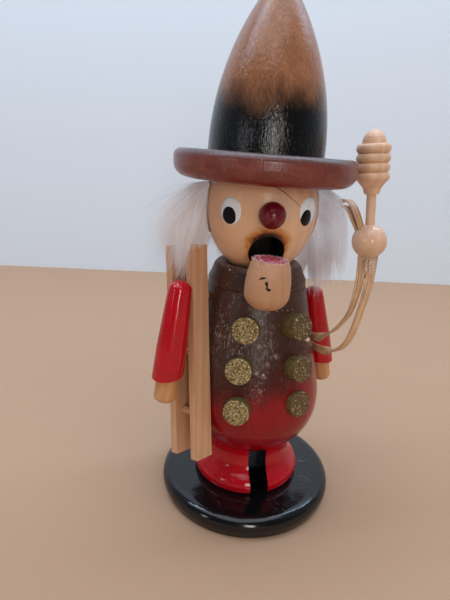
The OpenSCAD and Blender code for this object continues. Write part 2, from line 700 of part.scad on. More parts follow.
// Sections of a strand, from its first end to its last
function cane_rings(route) = let (p = [for (r = route) r[0]], q = [for (r = route) r[1]],
    n = (len(p) - 1) * cane_steps)
    [for (k = [0:n]) let (t = k / cane_steps,
        here = on_curve(p, t),
        ahead = unit(on_curve(p, min(t + 0.05, len(p) - 1)) - on_curve(p, max(t - 0.05, 0))),
        side = unit(cross(ahead, on_curve(q, t))),
        face = cross(side, ahead))
        [for (c = cane_section) here + side * c[0] * cane_w + face * c[1] * cane_t]];
// Least distance between the points of two strands
function least_gap(a, b) = min([for (r = a, s = b) if (norm(r[0] - s[0]) < 2 * cane_w)
    for (p = r, q = s) norm(p - q)]);

module cane(route) {
    rings = cane_rings(route);
    n = len(rings) - 1;
    m = len(cane_section);
    color("#B58B63") polyhedron(
        points = [for (ring = rings, pt = ring) pt],
        faces = concat(
            [[for (j = [m - 1:-1:0]) j]],
            [for (k = [0:n - 1], j = [0:m - 1]) let (a = k * m + j, b = k * m + (j + 1) % m)
                each [[a, b, a + m], [b, b + m, a + m]]],
            [[for (j = [0:m - 1]) n * m + j]]));
}

module mortise(route, at, next) {
    from = route[at][0];
    to = route[next][0];
    ahead = unit(to - from);
    side = unit(cross(ahead, route[at][1]));
    face = cross(side, ahead);
    m = [[side[0], face[0], ahead[0], from[0]], [side[1], face[1], ahead[1], from[1]],
        [side[2], face[2], ahead[2], from[2]], [0, 0, 0, 1]];
    multmatrix(m) translate([-cane_w / 2 - cane_fit, -cane_t / 2 - cane_fit, -end_room])
        cube([cane_w + 2 * cane_fit, cane_t + 2 * cane_fit, 8]);
}

module sweep_ball() {
    color("#C8935F") difference() {
        translate(ball_at) sphere(r = ball_r, $fn = 64);
        brush_place() translate([0, 0, ball_r - stick_in - end_room])
            cylinder(r = stick_r + glue_fit, h = stick_in + 2, $fn = 32);
        for (r = [route_inner, route_outer]) {
            mortise(r, 0, 1);
            mortise(r, len(r) - 1, len(r) - 2);
        }
    }
}

module cane_inner() { cane(route_inner); }
module cane_outer() { cane(route_outer); }
echo(least_gap_between_strands = least_gap(cane_rings(route_inner), cane_rings(route_outer)));

base_disc();
foot_dowels();
legs();
incense_plate();
plate_tack();
coat();
head();
nose();
hat_brim();
hat_crown();
hair_fringe();
pipe_bowl();
pipe_stem();
button_right_low();
button_right_mid();
button_right_high();
button_left_low();
button_left_mid();
button_left_high();
sleeve_right();
hand_right();
shoulder_peg_right();
sleeve_left();
hand_left();
shoulder_peg_left();
ladder_rail_front();
ladder_rail_rear();
ladder_rung_low();
ladder_rung_mid();
ladder_rung_high();
brush_head();
brush_stick();
sweep_ball();
cane_inner();
cane_outer();
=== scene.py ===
"""Looks of the chimney sweep incense smoker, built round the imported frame.

Everything is in metres, in the frame of the CAD part: +Z up, the figure's front towards -Y.
Sizes in this file are in millimetres and are multiplied by MM where they go into Blender.
"""

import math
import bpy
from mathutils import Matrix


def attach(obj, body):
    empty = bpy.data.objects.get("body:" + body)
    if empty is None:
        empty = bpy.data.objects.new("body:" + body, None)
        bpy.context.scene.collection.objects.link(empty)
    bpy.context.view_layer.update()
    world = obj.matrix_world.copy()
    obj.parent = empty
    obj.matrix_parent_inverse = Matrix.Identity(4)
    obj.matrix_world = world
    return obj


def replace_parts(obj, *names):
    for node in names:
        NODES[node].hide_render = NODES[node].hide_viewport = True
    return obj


bl_info = {
    "name": "Chimney Sweep Smoker",
    "version": (1, 0, 0),
    "blender": (4, 5, 0),
    "location": "3D View > Sidebar > Smoker",
    "description": "Dresses the turned chimney sweep smoker: lacquers, wood, face, fur, cane and stage",
    "category": "Object",
}

import bmesh
import bpy
import numpy as np
from bpy.props import FloatProperty, FloatVectorProperty, IntProperty, PointerProperty
from mathutils import Euler, Matrix, Vector, noise
from mathutils.bvhtree import BVHTree

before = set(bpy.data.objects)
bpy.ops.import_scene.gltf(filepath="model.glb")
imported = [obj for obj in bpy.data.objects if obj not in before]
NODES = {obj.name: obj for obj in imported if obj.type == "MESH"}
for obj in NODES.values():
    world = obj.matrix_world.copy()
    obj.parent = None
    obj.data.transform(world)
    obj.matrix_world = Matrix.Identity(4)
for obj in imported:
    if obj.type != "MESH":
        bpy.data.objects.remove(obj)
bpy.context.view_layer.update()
MM = 0.001
UPPER = "upper_figure"
LOWER = "lower_figure"

# Sizes of the part that the looks are fitted to, in millimetres
HEAD_R, HEAD_HALF, HEAD_Z = 18.6, 22.8, 109.8
MOUTH_R, MOUTH_Z, HEAD_TURN = 5.7, 97.0, math.radians(-7)
BELLY_R, BELLY_Z, CHEST_ROUND, NECK_R, GROOVE_Z = 25.4, 41.2, 38.0, 17.4, 83.6
BRIM_Z, BRIM_T = 118.0, 8.8
HAT_TURN = Euler((0, math.radians(1.9), math.radians(-17)))
BOWL_PLACE = (
    Matrix.Rotation(math.radians(-10.8), 4, "Z")
    @ Matrix.Translation((0, -27.4, 82.75))
    @ Matrix.Rotation(math.radians(3), 4, "Y")
)
LADDER_FOOT, LADDER_TURN = (-25.1, -19.1, 28.1), Euler([math.radians(a) for a in (8.5, 12, 127.2)])
BALL_AT = Vector((37.9, -6.8, 99.3))
BRUSH_TURN = Euler((math.radians(-3), math.radians(-4), 0))
SLEEVES = {
    "right": (Vector((-28.5, -13.2, 88)), Vector((-33, -15.9, 56.6))),
    "left": (Vector((23.6, 4.6, 79.6)), Vector((30.7, 6, 48.2))),
}


def linear(code):
    """Linear red, green and blue of an sRGB hex colour."""
    parts = [int(code[i : i + 2], 16) / 255 for i in (1, 3, 5)]
    return tuple(c / 12.92 if c <= 0.04045 else ((c + 0.055) / 1.055) ** 2.4 for c in parts)


def rgba(code):
    return (*linear(code), 1.0)


def colour(label, code, about):
    return FloatVectorProperty(
        name=label, description=about, subtype="COLOR", size=3, min=0, max=1, default=linear(code)
    )


class SmokerFinishes(bpy.types.PropertyGroup):
    """Colours of the paints, woods and fibres"""

    base_black: colour("Base lacquer", "#0C0C0E", "Gloss black lacquer of the round base")
    lacquer_red: colour("Red lacquer", "#BC081A", "Gloss red lacquer of legs and sleeves")
    coat_brown: colour("Coat, upper", "#3C221A", "Brown sprayed over the top of the coat")
    coat_red: colour("Coat, lower", "#86060F", "Dark red lacquer under the brown")
    head_wood: colour("Head wood", "#E2B692", "Clear-lacquered lime wood of the head and bowl")
    bowl_wood: colour("Bowl wood", "#B98A68", "Matt varnished lime wood of the pipe's bowl")
    nose_red: colour("Nose", "#6E0E1E", "Dark red lacquer of the nose bead")
    brim_brown: colour("Brim", "#7A3B34", "Red-brown stain of the brim")
    crown_brown: colour("Crown, upper", "#A87250", "Brown stain of the hat's point")
    crown_black: colour("Crown, lower", "#08080A", "Black sprayed round the foot of the crown")
    fur_white: colour("Fur", "#EEEDF0", "White rabbit fur")
    gold: colour("Bronze paint", "#C6B179", "Gold bronze paint of the button faces")
    ladder_wood: colour("Ladder", "#CB9A74", "Clear-lacquered pine of the ladder")
    brush_wood: colour("Brush", "#DDB595", "Clear-lacquered beech of brush and ball")
    cane_skin: colour("Cane", "#D9B088", "Gloss skin of the flat rattan cane")
    ember_red: colour("Ember", "#C6475A", "Glitter that stands for glowing tobacco")


class SmokerFur(bpy.types.PropertyGroup):
    """Size of the fur strip's hair"""

    strands: IntProperty(name="Strands", description="Hairs in all", default=18000, min=500, max=40000)
    width: FloatProperty(
        name="Hair width", description="Width of one hair at its root", default=0.00016, unit="LENGTH"
    )
    seed: IntProperty(name="Seed", description="Start of the random numbers", default=7, min=0)


class SmokerFace(bpy.types.PropertyGroup):
    """Sizes of the painted face"""

    eye_height: FloatProperty(
        name="Eye height", description="Half the height of an eye's white", default=0.0042, unit="LENGTH"
    )
    scorch: FloatProperty(
        name="Scorch", description="Width of the scorched ring round the mouth", default=0.0021, unit="LENGTH"
    )


class SmokerStage(bpy.types.PropertyGroup):
    """Camera and light"""

    lens: FloatProperty(name="Lens", description="Focal length for a 24 mm sensor height", default=18.09)
    key: FloatProperty(name="Key light", description="Power of the window light", default=4.5, min=0)
    sky: FloatProperty(
        name="Surroundings", description="Strength of the pale surroundings", default=1.35, min=0
    )


# Nodes and patterns


MENUS = {
    "Math": "operation",
    "VectorMath": "operation",
    "MapRange": "interpolation_type",
    "Mix": "data_type",
    "TexWave": "bands_direction",
}


def feed(node, inputs):
    """Sets a node's inputs: a node or a socket is linked, and anything else becomes the value."""
    for key, value in inputs.items():
        if isinstance(value, bpy.types.Node):
            value = next(socket for socket in value.outputs if socket.enabled)
        if isinstance(value, bpy.types.NodeSocket):
            node.id_data.links.new(value, node.inputs[key])
        else:
            node.inputs[key].default_value = value
    return node


def add(tree, kind, *inputs, **settings):
    """Adds one shader node with its settings and links.

    kind is the node's type and, after a space, the entry of its main menu. The inputs are given in order, or
    as one dictionary by name or number.
    """
    kind, _, entry = kind.partition(" ")
    node = tree.nodes.new("ShaderNode" + kind)
    if entry:
        setattr(node, MENUS[kind], entry)
    for key, value in settings.items():
        setattr(node, key, value)
    by_name = inputs and isinstance(inputs[0], dict)
    return feed(node, inputs[0] if by_name else dict(enumerate(inputs)))


def finish(name, values):
    """A new material with one Principled shader; values are set on the shader's own sockets."""
    made = bpy.data.materials.new(name)
    made.use_nodes = True
    tree = made.node_tree
    shader = feed(tree.nodes["Principled BSDF"], values)
    if "Base Color" in values:
        made.diffuse_color = values["Base Color"]
    return made, tree, shader


def measured(tree, size=(1, 1, 1), origin=(0, 0, 0), turn=(0, 0, 0)):
    """Object coordinates in a piece's own direction, where one unit is a feature of that size in mm."""
    places = {
        "Vector": add(tree, "TexCoord").outputs["Object"],
        "Location": [c * MM for c in origin],
        "Rotation": tuple(turn),
        "Scale": [s * MM for s in size],
    }
    return add(tree, "Mapping", places, vector_type="TEXTURE")


def cloudy(tree, size, low=0.35, high=0.65, detail=3, origin=(0, 0, 0), turn=(0, 0, 0)):
    """A mask of soft patches or fibres of that size in mm, from 0 to 1."""
    raw = add(tree, "TexNoise", {
        "Vector": measured(tree, size, origin, turn), "Scale": 1.0, "Detail": detail, "Roughness": 0.55
    })
    return add(tree, "MapRange SMOOTHSTEP", raw, low, high)


def spot(tree, at, inner, outer):
    """A mask that is 1 within inner mm of a point and 0 beyond outer mm."""
    away = add(tree, "VectorMath DISTANCE", measured(tree), [c * 1.0 for c in at])
    return add(tree, "MapRange SMOOTHSTEP", away, outer, inner)


def layered(tree, ground, *layers):
    """Colours over one another: each layer is its colour, then the masks and shares that limit it."""
    for tone, *limits in layers:
        mask = limits[0]
        for limit in limits[1:]:
            mask = add(tree, "Math MULTIPLY", mask, limit)
        below, above = (rgba(c) if isinstance(c, str) else c for c in (ground, tone))
        ground = add(tree, "Mix RGBA", {0: mask, 6: below, 7: above})
    return ground


def wood(name, code, size=1.0, origin=(0, 0, 0), turn=(0, 0, 0), gloss=0.35, contrast=1.0, rings=1.6):
    """Clear-lacquered light wood: fibres, growth rings and short pores run along the piece's own Z.

    The lacquer gives a soft clear shine over the matt fibres; pores show as short dark dashes. Real fibres
    and pores are under 0.1 mm across: here they are drawn 0.3 to 0.45 mm wide, as coarse as they need to show.
    """
    base = code if len(code) == 4 else rgba(code)
    made, tree, shader = finish(name, {
        "Base Color": base, "Roughness": 0.48, "IOR": 1.5,
        "Coat Weight": gloss, "Coat Roughness": 0.22, "Coat IOR": 1.5,
    })
    # growth rings: bands a few millimetres apart that wander along the piece
    bands = add(tree, "TexWave DIAGONAL", {
        "Vector": measured(tree, (rings * size, rings * size * 1.7, 26 * size), origin, turn),
        "Scale": 0.32, "Distortion": 4.5, "Detail": 2.5, "Detail Scale": 0.7,
    })
    fibres = cloudy(tree, (0.45 * size, 0.45 * size, 9 * size), 0.3, 0.72, 4, origin, turn)
    pores = cloudy(tree, (0.3 * size, 0.3 * size, 1.6 * size), 0.66, 0.74, 2, origin, turn)
    patches = cloudy(tree, (6, 6, 14), 0.3, 0.7, 2, origin, turn)
    dark = (base[0] * 0.66, base[1] * 0.56, base[2] * 0.46, 1)
    pale = (min(1, base[0] * 1.13), min(1, base[1] * 1.12), min(1, base[2] * 1.1), 1)
    tone = layered(
        tree,
        pale,
        (dark, bands.outputs["Fac"], 0.42 * contrast),
        (base, fibres, 0.3 * contrast),
        (dark, patches, 0.16 * contrast),
        ((base[0] * 0.36, base[1] * 0.26, base[2] * 0.18, 1), pores, 0.4 * contrast),
    )
    height = add(tree, "Math MULTIPLY_ADD", pores, -0.6, fibres)
    feed(shader, {
        "Base Color": tone,
        "Normal": add(tree, "Bump", {"Height": height, "Distance": 0.03 * MM}),
    })
    return made, tree, shader, tone


def dress(node, made):
    """Gives a CAD node, or a new piece, one material."""
    piece = NODES[node] if isinstance(node, str) else node
    piece.data.materials.clear()
    piece.data.materials.append(made)
    return piece


# Meshes


def piece(name, points, faces, body, slot, made, flat_above=None):
    """A mesh piece from points in mm, riding on a body, with its material. The slot is not used."""
    mesh = bpy.data.meshes.new(name)
    mesh.from_pydata([tuple(c * MM for c in p) for p in points], [], faces)
    mesh.validate()
    tidy = bmesh.new()
    tidy.from_mesh(mesh)
    if flat_above is not None:
        bmesh.ops.recalc_face_normals(tidy, faces=tidy.faces)
    tidy.to_mesh(mesh)
    tidy.free()
    mesh.polygons.foreach_set("use_smooth", [True] * len(mesh.polygons))
    if flat_above is not None:
        mesh.set_sharp_from_angle(angle=math.radians(flat_above))
    obj = bpy.data.objects.new(name, mesh)
    bpy.context.scene.collection.objects.link(obj)
    for one in made if isinstance(made, (list, tuple)) else [made]:
        mesh.materials.append(one)
    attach(obj, body)
    return obj


def head_r(z):
    return HEAD_R * math.sqrt(max(0.0, 1 - ((z - HEAD_Z) / HEAD_HALF) ** 2))


def round_about(th, r, z):
    """The point at th degrees from the front towards the figure's left, in mm."""
    a = math.radians(th)
    return Vector((r * math.sin(a), -r * math.cos(a), z))


def chest(z):
    """Radius of the coat and the slope of its side at a height."""
    reach = (NECK_R - BELLY_R + CHEST_ROUND, GROOVE_Z - BELLY_Z)
    slope = math.atan2(reach[1], reach[0]) - math.acos(CHEST_ROUND / math.hypot(*reach))
    foot = (BELLY_R - CHEST_ROUND * (1 - math.cos(slope)), BELLY_Z + CHEST_ROUND * math.sin(slope))
    if z > foot[1]:
        return foot[0] + (NECK_R - foot[0]) * (z - foot[1]) / (GROOVE_Z - foot[1]), slope
    return (
        BELLY_R - CHEST_ROUND + math.sqrt(CHEST_ROUND ** 2 - (z - BELLY_Z) ** 2),
        math.asin((z - BELLY_Z) / CHEST_ROUND),
    )


def tree_of(node):
    mesh = NODES[node].data
    return BVHTree.FromPolygons([v.co / MM for v in mesh.vertices], [p.vertices[:] for p in mesh.polygons])


def wobble(angle, seed, amount):
    """An uneven hand-made outline: a number near 1 that varies round a shape."""
    p = Vector((math.cos(angle) * 1.4 + seed * 7.3, math.sin(angle) * 1.4, seed * 3.1))
    return 1 + amount * noise.noise(p)


def patch(
    name, surface, centre, normal, half_wide, half_high, body, slot, made,
    lift=0.12, tilt=0.0, uneven=0.05, seed=1,
):
    """A film of paint laid on a CAD surface: domed a little, thin at its uneven edge, closed underneath."""
    normal = Vector(normal).normalized()
    across = Vector((0, 0, 1)).cross(normal).normalized()
    upward = normal.cross(across)
    across, upward = (
        across * math.cos(tilt) + upward * math.sin(tilt),
        -across * math.sin(tilt) + upward * math.cos(tilt),
    )
    around, rings = 40, 7
    levels = (
        [(k / rings, 0.03 + lift * (1 - (k / rings) ** 4)) for k in range(1, rings + 1)]
        + [(1.0, -0.15)]
    )
    found = surface.ray_cast(Vector(centre) + normal * 4, -normal)
    points = [found[0] + normal * (0.03 + lift)]
    for share, high in levels:
        for i in range(around):
            a = 2 * math.pi * i / around
            grow = share * wobble(a, seed, uneven)
            start = (
                Vector(centre) + across * half_wide * grow * math.cos(a)
                + upward * half_high * grow * math.sin(a)
            )
            hit = surface.ray_cast(start + normal * 4, -normal)[0] or start
            points.append(hit + normal * high)
    faces = [(0, 1 + i, 1 + (i + 1) % around) for i in range(around)]
    for k in range(len(levels) - 1):
        a, b = 1 + k * around, 1 + (k + 1) * around
        faces += [(a + i, b + i, b + (i + 1) % around, a + (i + 1) % around) for i in range(around)]
    last = 1 + (len(levels) - 1) * around
    faces.append([last + i for i in reversed(range(around))])
    return piece(name, points, faces, body, slot, made)


def drop(name, centre, radii, body, slot, made, seed=1):
    """A set drop of glue: an uneven, flattened bead."""
    ball = bmesh.new()
    bmesh.ops.create_icosphere(ball, subdivisions=3, radius=1)
    points = []
    for v in ball.verts:
        grow = (
            1 + 0.22 * noise.noise(v.co * 1.7 + Vector((seed * 5.1, 0, 0)))
            + 0.06 * noise.noise(v.co * 6)
        )
        points.append(Vector(centre) + Vector([v.co[i] * radii[i] * grow for i in range(3)]))
    faces = [[v.index for v in f.verts] for f in ball.faces]
    ball.free()
    return piece(name, points, faces, body, slot, made)


def turned(name, outline, place, body, slot, made, around=64, uneven=0.0, seed=1, faces_of=None):
    """A turned piece: an outline of (radius, height) in mm round Z, set in place by a matrix in mm."""
    points, faces = [], []
    for r, z in outline:
        for i in range(around):
            a = 2 * math.pi * i / around
            grow = wobble(a, seed, uneven) if uneven else 1
            points.append(place @ Vector((r * grow * math.cos(a), r * grow * math.sin(a), z)))
    for k in range(len(outline) - 1):
        for i in range(around):
            j = (i + 1) % around
            faces.append((k * around + i, k * around + j, (k + 1) * around + j, (k + 1) * around + i))
    faces.append([i for i in reversed(range(around))])
    top = (len(outline) - 1) * around
    faces.append([top + i for i in range(around)])
    obj = piece(name, points, faces, body, slot, made, flat_above=35)
    if faces_of:
        for polygon in obj.data.polygons:
            polygon.material_index = faces_of(polygon, around)
    return obj


def drill(at, box=None, radius=1.0, length=1.0):
    """A tool for cut: a box or an upright round bar, in mm."""
    tool = bmesh.new()
    if box:
        bmesh.ops.create_cube(tool, size=1, matrix=Matrix.Diagonal((*box, 1)))
    else:
        bmesh.ops.create_cone(
            tool, cap_ends=True, segments=32, radius1=radius, radius2=radius, depth=length
        )
    bmesh.ops.transform(tool, matrix=Matrix.Scale(MM, 4) @ Matrix.Translation(at), verts=tool.verts)
    mesh = bpy.data.meshes.new("tool")
    tool.to_mesh(mesh)
    tool.free()
    obj = bpy.data.objects.new("tool", mesh)
    bpy.context.scene.collection.objects.link(obj)
    return obj


def cut(obj, tools):
    """Takes the tools' shapes out of a piece and removes the tools."""
    for tool in tools:
        step = obj.modifiers.new("cut", "BOOLEAN")
        step.operation, step.solver, step.object = "DIFFERENCE", "EXACT", tool
    shaped = bpy.data.meshes.new_from_object(obj.evaluated_get(bpy.context.evaluated_depsgraph_get()))
    obj.modifiers.clear()
    obj.data = shaped
    shaped.polygons.foreach_set("use_smooth", [True] * len(shaped.polygons))
    shaped.set_sharp_from_angle(angle=math.radians(35))
    for tool in tools:
        bpy.data.objects.remove(tool)


def smooth_curve(points, steps):
    """Points of the Catmull-Rom curve through the given points, as the source draws it."""
    out = []
    last = len(points) - 1
    for i in range(last):
        a, b, c, d = (np.array(points[max(0, min(last, k))], float) for k in (i - 1, i, i + 1, i + 2))
        for s in range(steps):
            u = s / steps
            cubic = (2 * a - 5 * b + 4 * c - d) * u**2 + (3 * b - a - 3 * c + d) * u**3
            out.append(0.5 * (2 * b + (c - a) * u + cubic))
    out.append(np.array(points[-1], float))
    return np.array(out)


# Base, dowels and incense plate


class SMOKER_OT_base(bpy.types.Operator):
    """Gloss black base with its scuffs, its dowels, and the plate for the incense"""

    bl_idname = "smoker.base"
    bl_label = "Base and incense plate"

    def execute(self, context):
        black = (*context.scene.smoker_finishes.base_black, 1)
        # Nitrocellulose lacquer brushed on turned beech: a deep black mirror with faint swells from the wood
        made, tree, shader = finish(
            "Black gloss lacquer, brushed",
            {"Base Color": black, "Roughness": 0.12, "IOR": 1.5},
        )
        swells = cloudy(tree, (9, 3.5, 6), 0.2, 0.8, 3)
        grit = cloudy(tree, (0.45, 0.45, 0.45), 0.7, 0.76, 2)
        # scuffs: thin pale scratches gathered at the places that the photograph shows
        scratch = cloudy(tree, (0.35, 5.5, 2), 0.6, 0.66, 3, turn=(0, 0, math.radians(38)))
        scratch = add(
            tree, "Math ADD", scratch,
            cloudy(tree, (5.0, 0.4, 2), 0.62, 0.68, 3, turn=(0, 0, math.radians(-24))), use_clamp=True,
        )
        where = spot(tree, (21.5, -4, 7.6), 2, 7)
        for at, inner, outer in (((18.5, -13, 7.6), 1.5, 6), ((6.5, -25, 7.6), 1.5, 6)):
            where = add(tree, "Math ADD", where, spot(tree, at, inner, outer), use_clamp=True)
        worn = add(tree, "Math MULTIPLY", add(tree, "Math MULTIPLY", scratch, where), 0.42)
        height = add(tree, "SeparateXYZ", measured(tree)).outputs["Z"]
        foot = add(
            tree, "Math MULTIPLY", add(tree, "MapRange SMOOTHSTEP", height, 2.6, 0.4),
            cloudy(tree, (1.8, 1.8, 0.8), 0.5, 0.66, 3),
        )
        tone = layered(tree, black, ("#8D8780", worn), ("#6A5A4A", foot, 0.1), ("#77746F", grit, 0.3))
        feed(shader, {"Base Color": tone})
        rough = add(
            tree, "Math MULTIPLY_ADD", swells, 0.1, add(tree, "Math MULTIPLY", worn, 0.3), use_clamp=True
        )
        feed(shader, {
            "Roughness": add(tree, "Math ADD", rough, 0.08, use_clamp=True),
            "Normal": add(tree, "Bump", {
                "Height": add(tree, "Math MULTIPLY_ADD", grit, 0.25, swells, use_clamp=True),
                "Distance": 0.05 * MM,
            }),
        })
        # the upper edge is turned round, which catches the light as a soft line
        side = [
            (31.8, 0), (32.2, 0.5), (32.6, 1.8), (32.95, 3.2), (32.9, 4.6), (32.4, 5.9), (31.5, 6.85),
            (30.2, 7.4), (28.4, 7.6),
        ]
        outline = [(0.02, 0)] + [tuple(p) for p in smooth_curve(side, 4)] + [(0.02, 7.6)]
        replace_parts(turned("base_turned", outline, Matrix(), LOWER, "base_black", made, 160), "base_disc")

        plain, *_ = wood("Beech dowel, untreated", "#C99E6E", gloss=0.0)
        for node in ("foot_dowels", "shoulder_peg_right", "shoulder_peg_left"):
            dress(node, plain)
        # Tinplate pressed to a dish, browned by heat and ash
        tin, tree, shader = finish("Tinplate, pressed and heat-browned", {
            "Metallic": 1.0, "Roughness": 0.38
        })
        ash = cloudy(tree, (1.2, 1.2, 1.2), 0.4, 0.62, 4)
        feed(shader, {
            "Base Color": layered(tree, "#B9B6AE", ("#6F5C45", ash)),
            "Roughness": add(tree, "MapRange", {"Value": ash, "To Min": 0.28, "To Max": 0.62}),
            "Normal": add(tree, "Bump", {"Height": ash, "Distance": 0.02 * MM}),
        })
        dress("incense_plate", tin)
        steel, tree, shader = finish("Steel tack, bright drawn", {"Metallic": 1.0, "Roughness": 0.3})
        drawn = cloudy(tree, (0.2, 0.2, 3), 0.3, 0.7, 2)
        feed(shader, {"Base Color": layered(tree, "#CFCCC6", ("#9F9C96", drawn))})
        dress("plate_tack", steel)
        return {"FINISHED"}


def red_lacquer(name, base, origin=(0, 0, 0), turn=(0, 0, 0), slot_black=False):
    """Red gloss lacquer sprayed on turned beech: saturated and mirror-like, with swells and crumbs of dust."""
    made, tree, shader = finish(
        name,
        {"Base Color": base, "Roughness": 0.13, "IOR": 1.5},
    )
    swells = cloudy(tree, (3.0, 3.0, 11), 0.2, 0.8, 3, origin, turn)
    depth = cloudy(tree, (7, 7, 9), 0.25, 0.75, 2, origin, turn)
    specks = cloudy(tree, (0.55, 0.55, 0.55), 0.73, 0.78, 1, origin, turn)
    deep = (base[0] * 0.62, base[1] * 0.5, base[2] * 0.6, 1)
    tone = layered(tree, base, (deep, depth, 0.5), ("#D98F8A", specks, 0.35))
    if slot_black:
        # the slot's inner faces between the legs are coloured near-black; the spigot above the seat is
        # smoke-tanned bare beech
        axes = add(tree, "SeparateXYZ", measured(tree))
        inside = add(tree, "Math LESS_THAN", add(tree, "Math ABSOLUTE", axes.outputs["X"]), 3.36)
        tone = layered(tree, tone, ("#0A090A", inside))
        bare = add(tree, "MapRange SMOOTHSTEP", axes.outputs["Z"], 24.9, 25.2)
        fibres = layered(
            tree,
            "#B98F63",
            ("#8E673F", cloudy(tree, (0.6, 0.6, 6), 0.3, 0.7, 4)),
            ("#4F3621", cloudy(tree, (4, 4, 3), 0.4, 0.7, 3), 0.6),
        )
        tone = layered(tree, tone, (fibres, bare))
        feed(shader, {"Roughness": add(tree, "Math MULTIPLY_ADD", bare, 0.5, 0.13, use_clamp=True)})
    feed(shader, {
        "Base Color": tone,
        "Normal": add(tree, "Bump", {
            "Height": add(tree, "Math MULTIPLY_ADD", specks, 0.4, swells, use_clamp=True),
            "Distance": 0.05 * MM,
        }),
    })
    return made


class SMOKER_OT_legs(bpy.types.Operator):
    """Red lacquered legs with the black slot between them"""

    bl_idname = "smoker.legs"
    bl_label = "Legs"

    def execute(self, context):
        red = (*context.scene.smoker_finishes.lacquer_red, 1)
        made = red_lacquer("Red gloss lacquer, turned legs", red, slot_black=True)
        # the shoes are turned as a round bead that runs into the cove of the trousers
        side = [
            (18.7, 7.6), (19.6, 8.1), (20.15, 9.1), (20.3, 10.3), (20.05, 11.6), (19.4, 12.8), (18.4, 13.9),
        ]
        side += [
            (17.3, 15.0), (16.4, 16.3), (15.85, 17.8), (15.6, 19.4), (15.55, 21), (15.7, 22.8), (16.0, 25),
        ]
        outline = [(0.02, 7.6)] + [tuple(p) for p in smooth_curve(side, 3)]
        outline += [(13, 25), (13, 34.2), (12.2, 35), (0.02, 35)]
        legs = turned("legs_turned", outline, Matrix(), LOWER, "lacquer_red", made, 128)
        slot = drill((0, 0, 15.5), box=(6.6, 60, 17))
        air = [drill((0, y, 29), radius=1.6, length=14) for y in (-10.2, 10.2)]
        cut(legs, [slot, *air])
        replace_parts(legs, "legs")
        return {"FINISHED"}


# Coat


SPOTS = ((-3.8, -20.4, 67.2), (-1.8, -21.0, 65.5), (-1.1, -22.0, 61.4), (1.9, -21.3, 64.0))
SPOTS += ((-2.2, -22.7, 57.5), (-3.5, -23.5, 52.7), (-4.7, -22.0, 58.9))


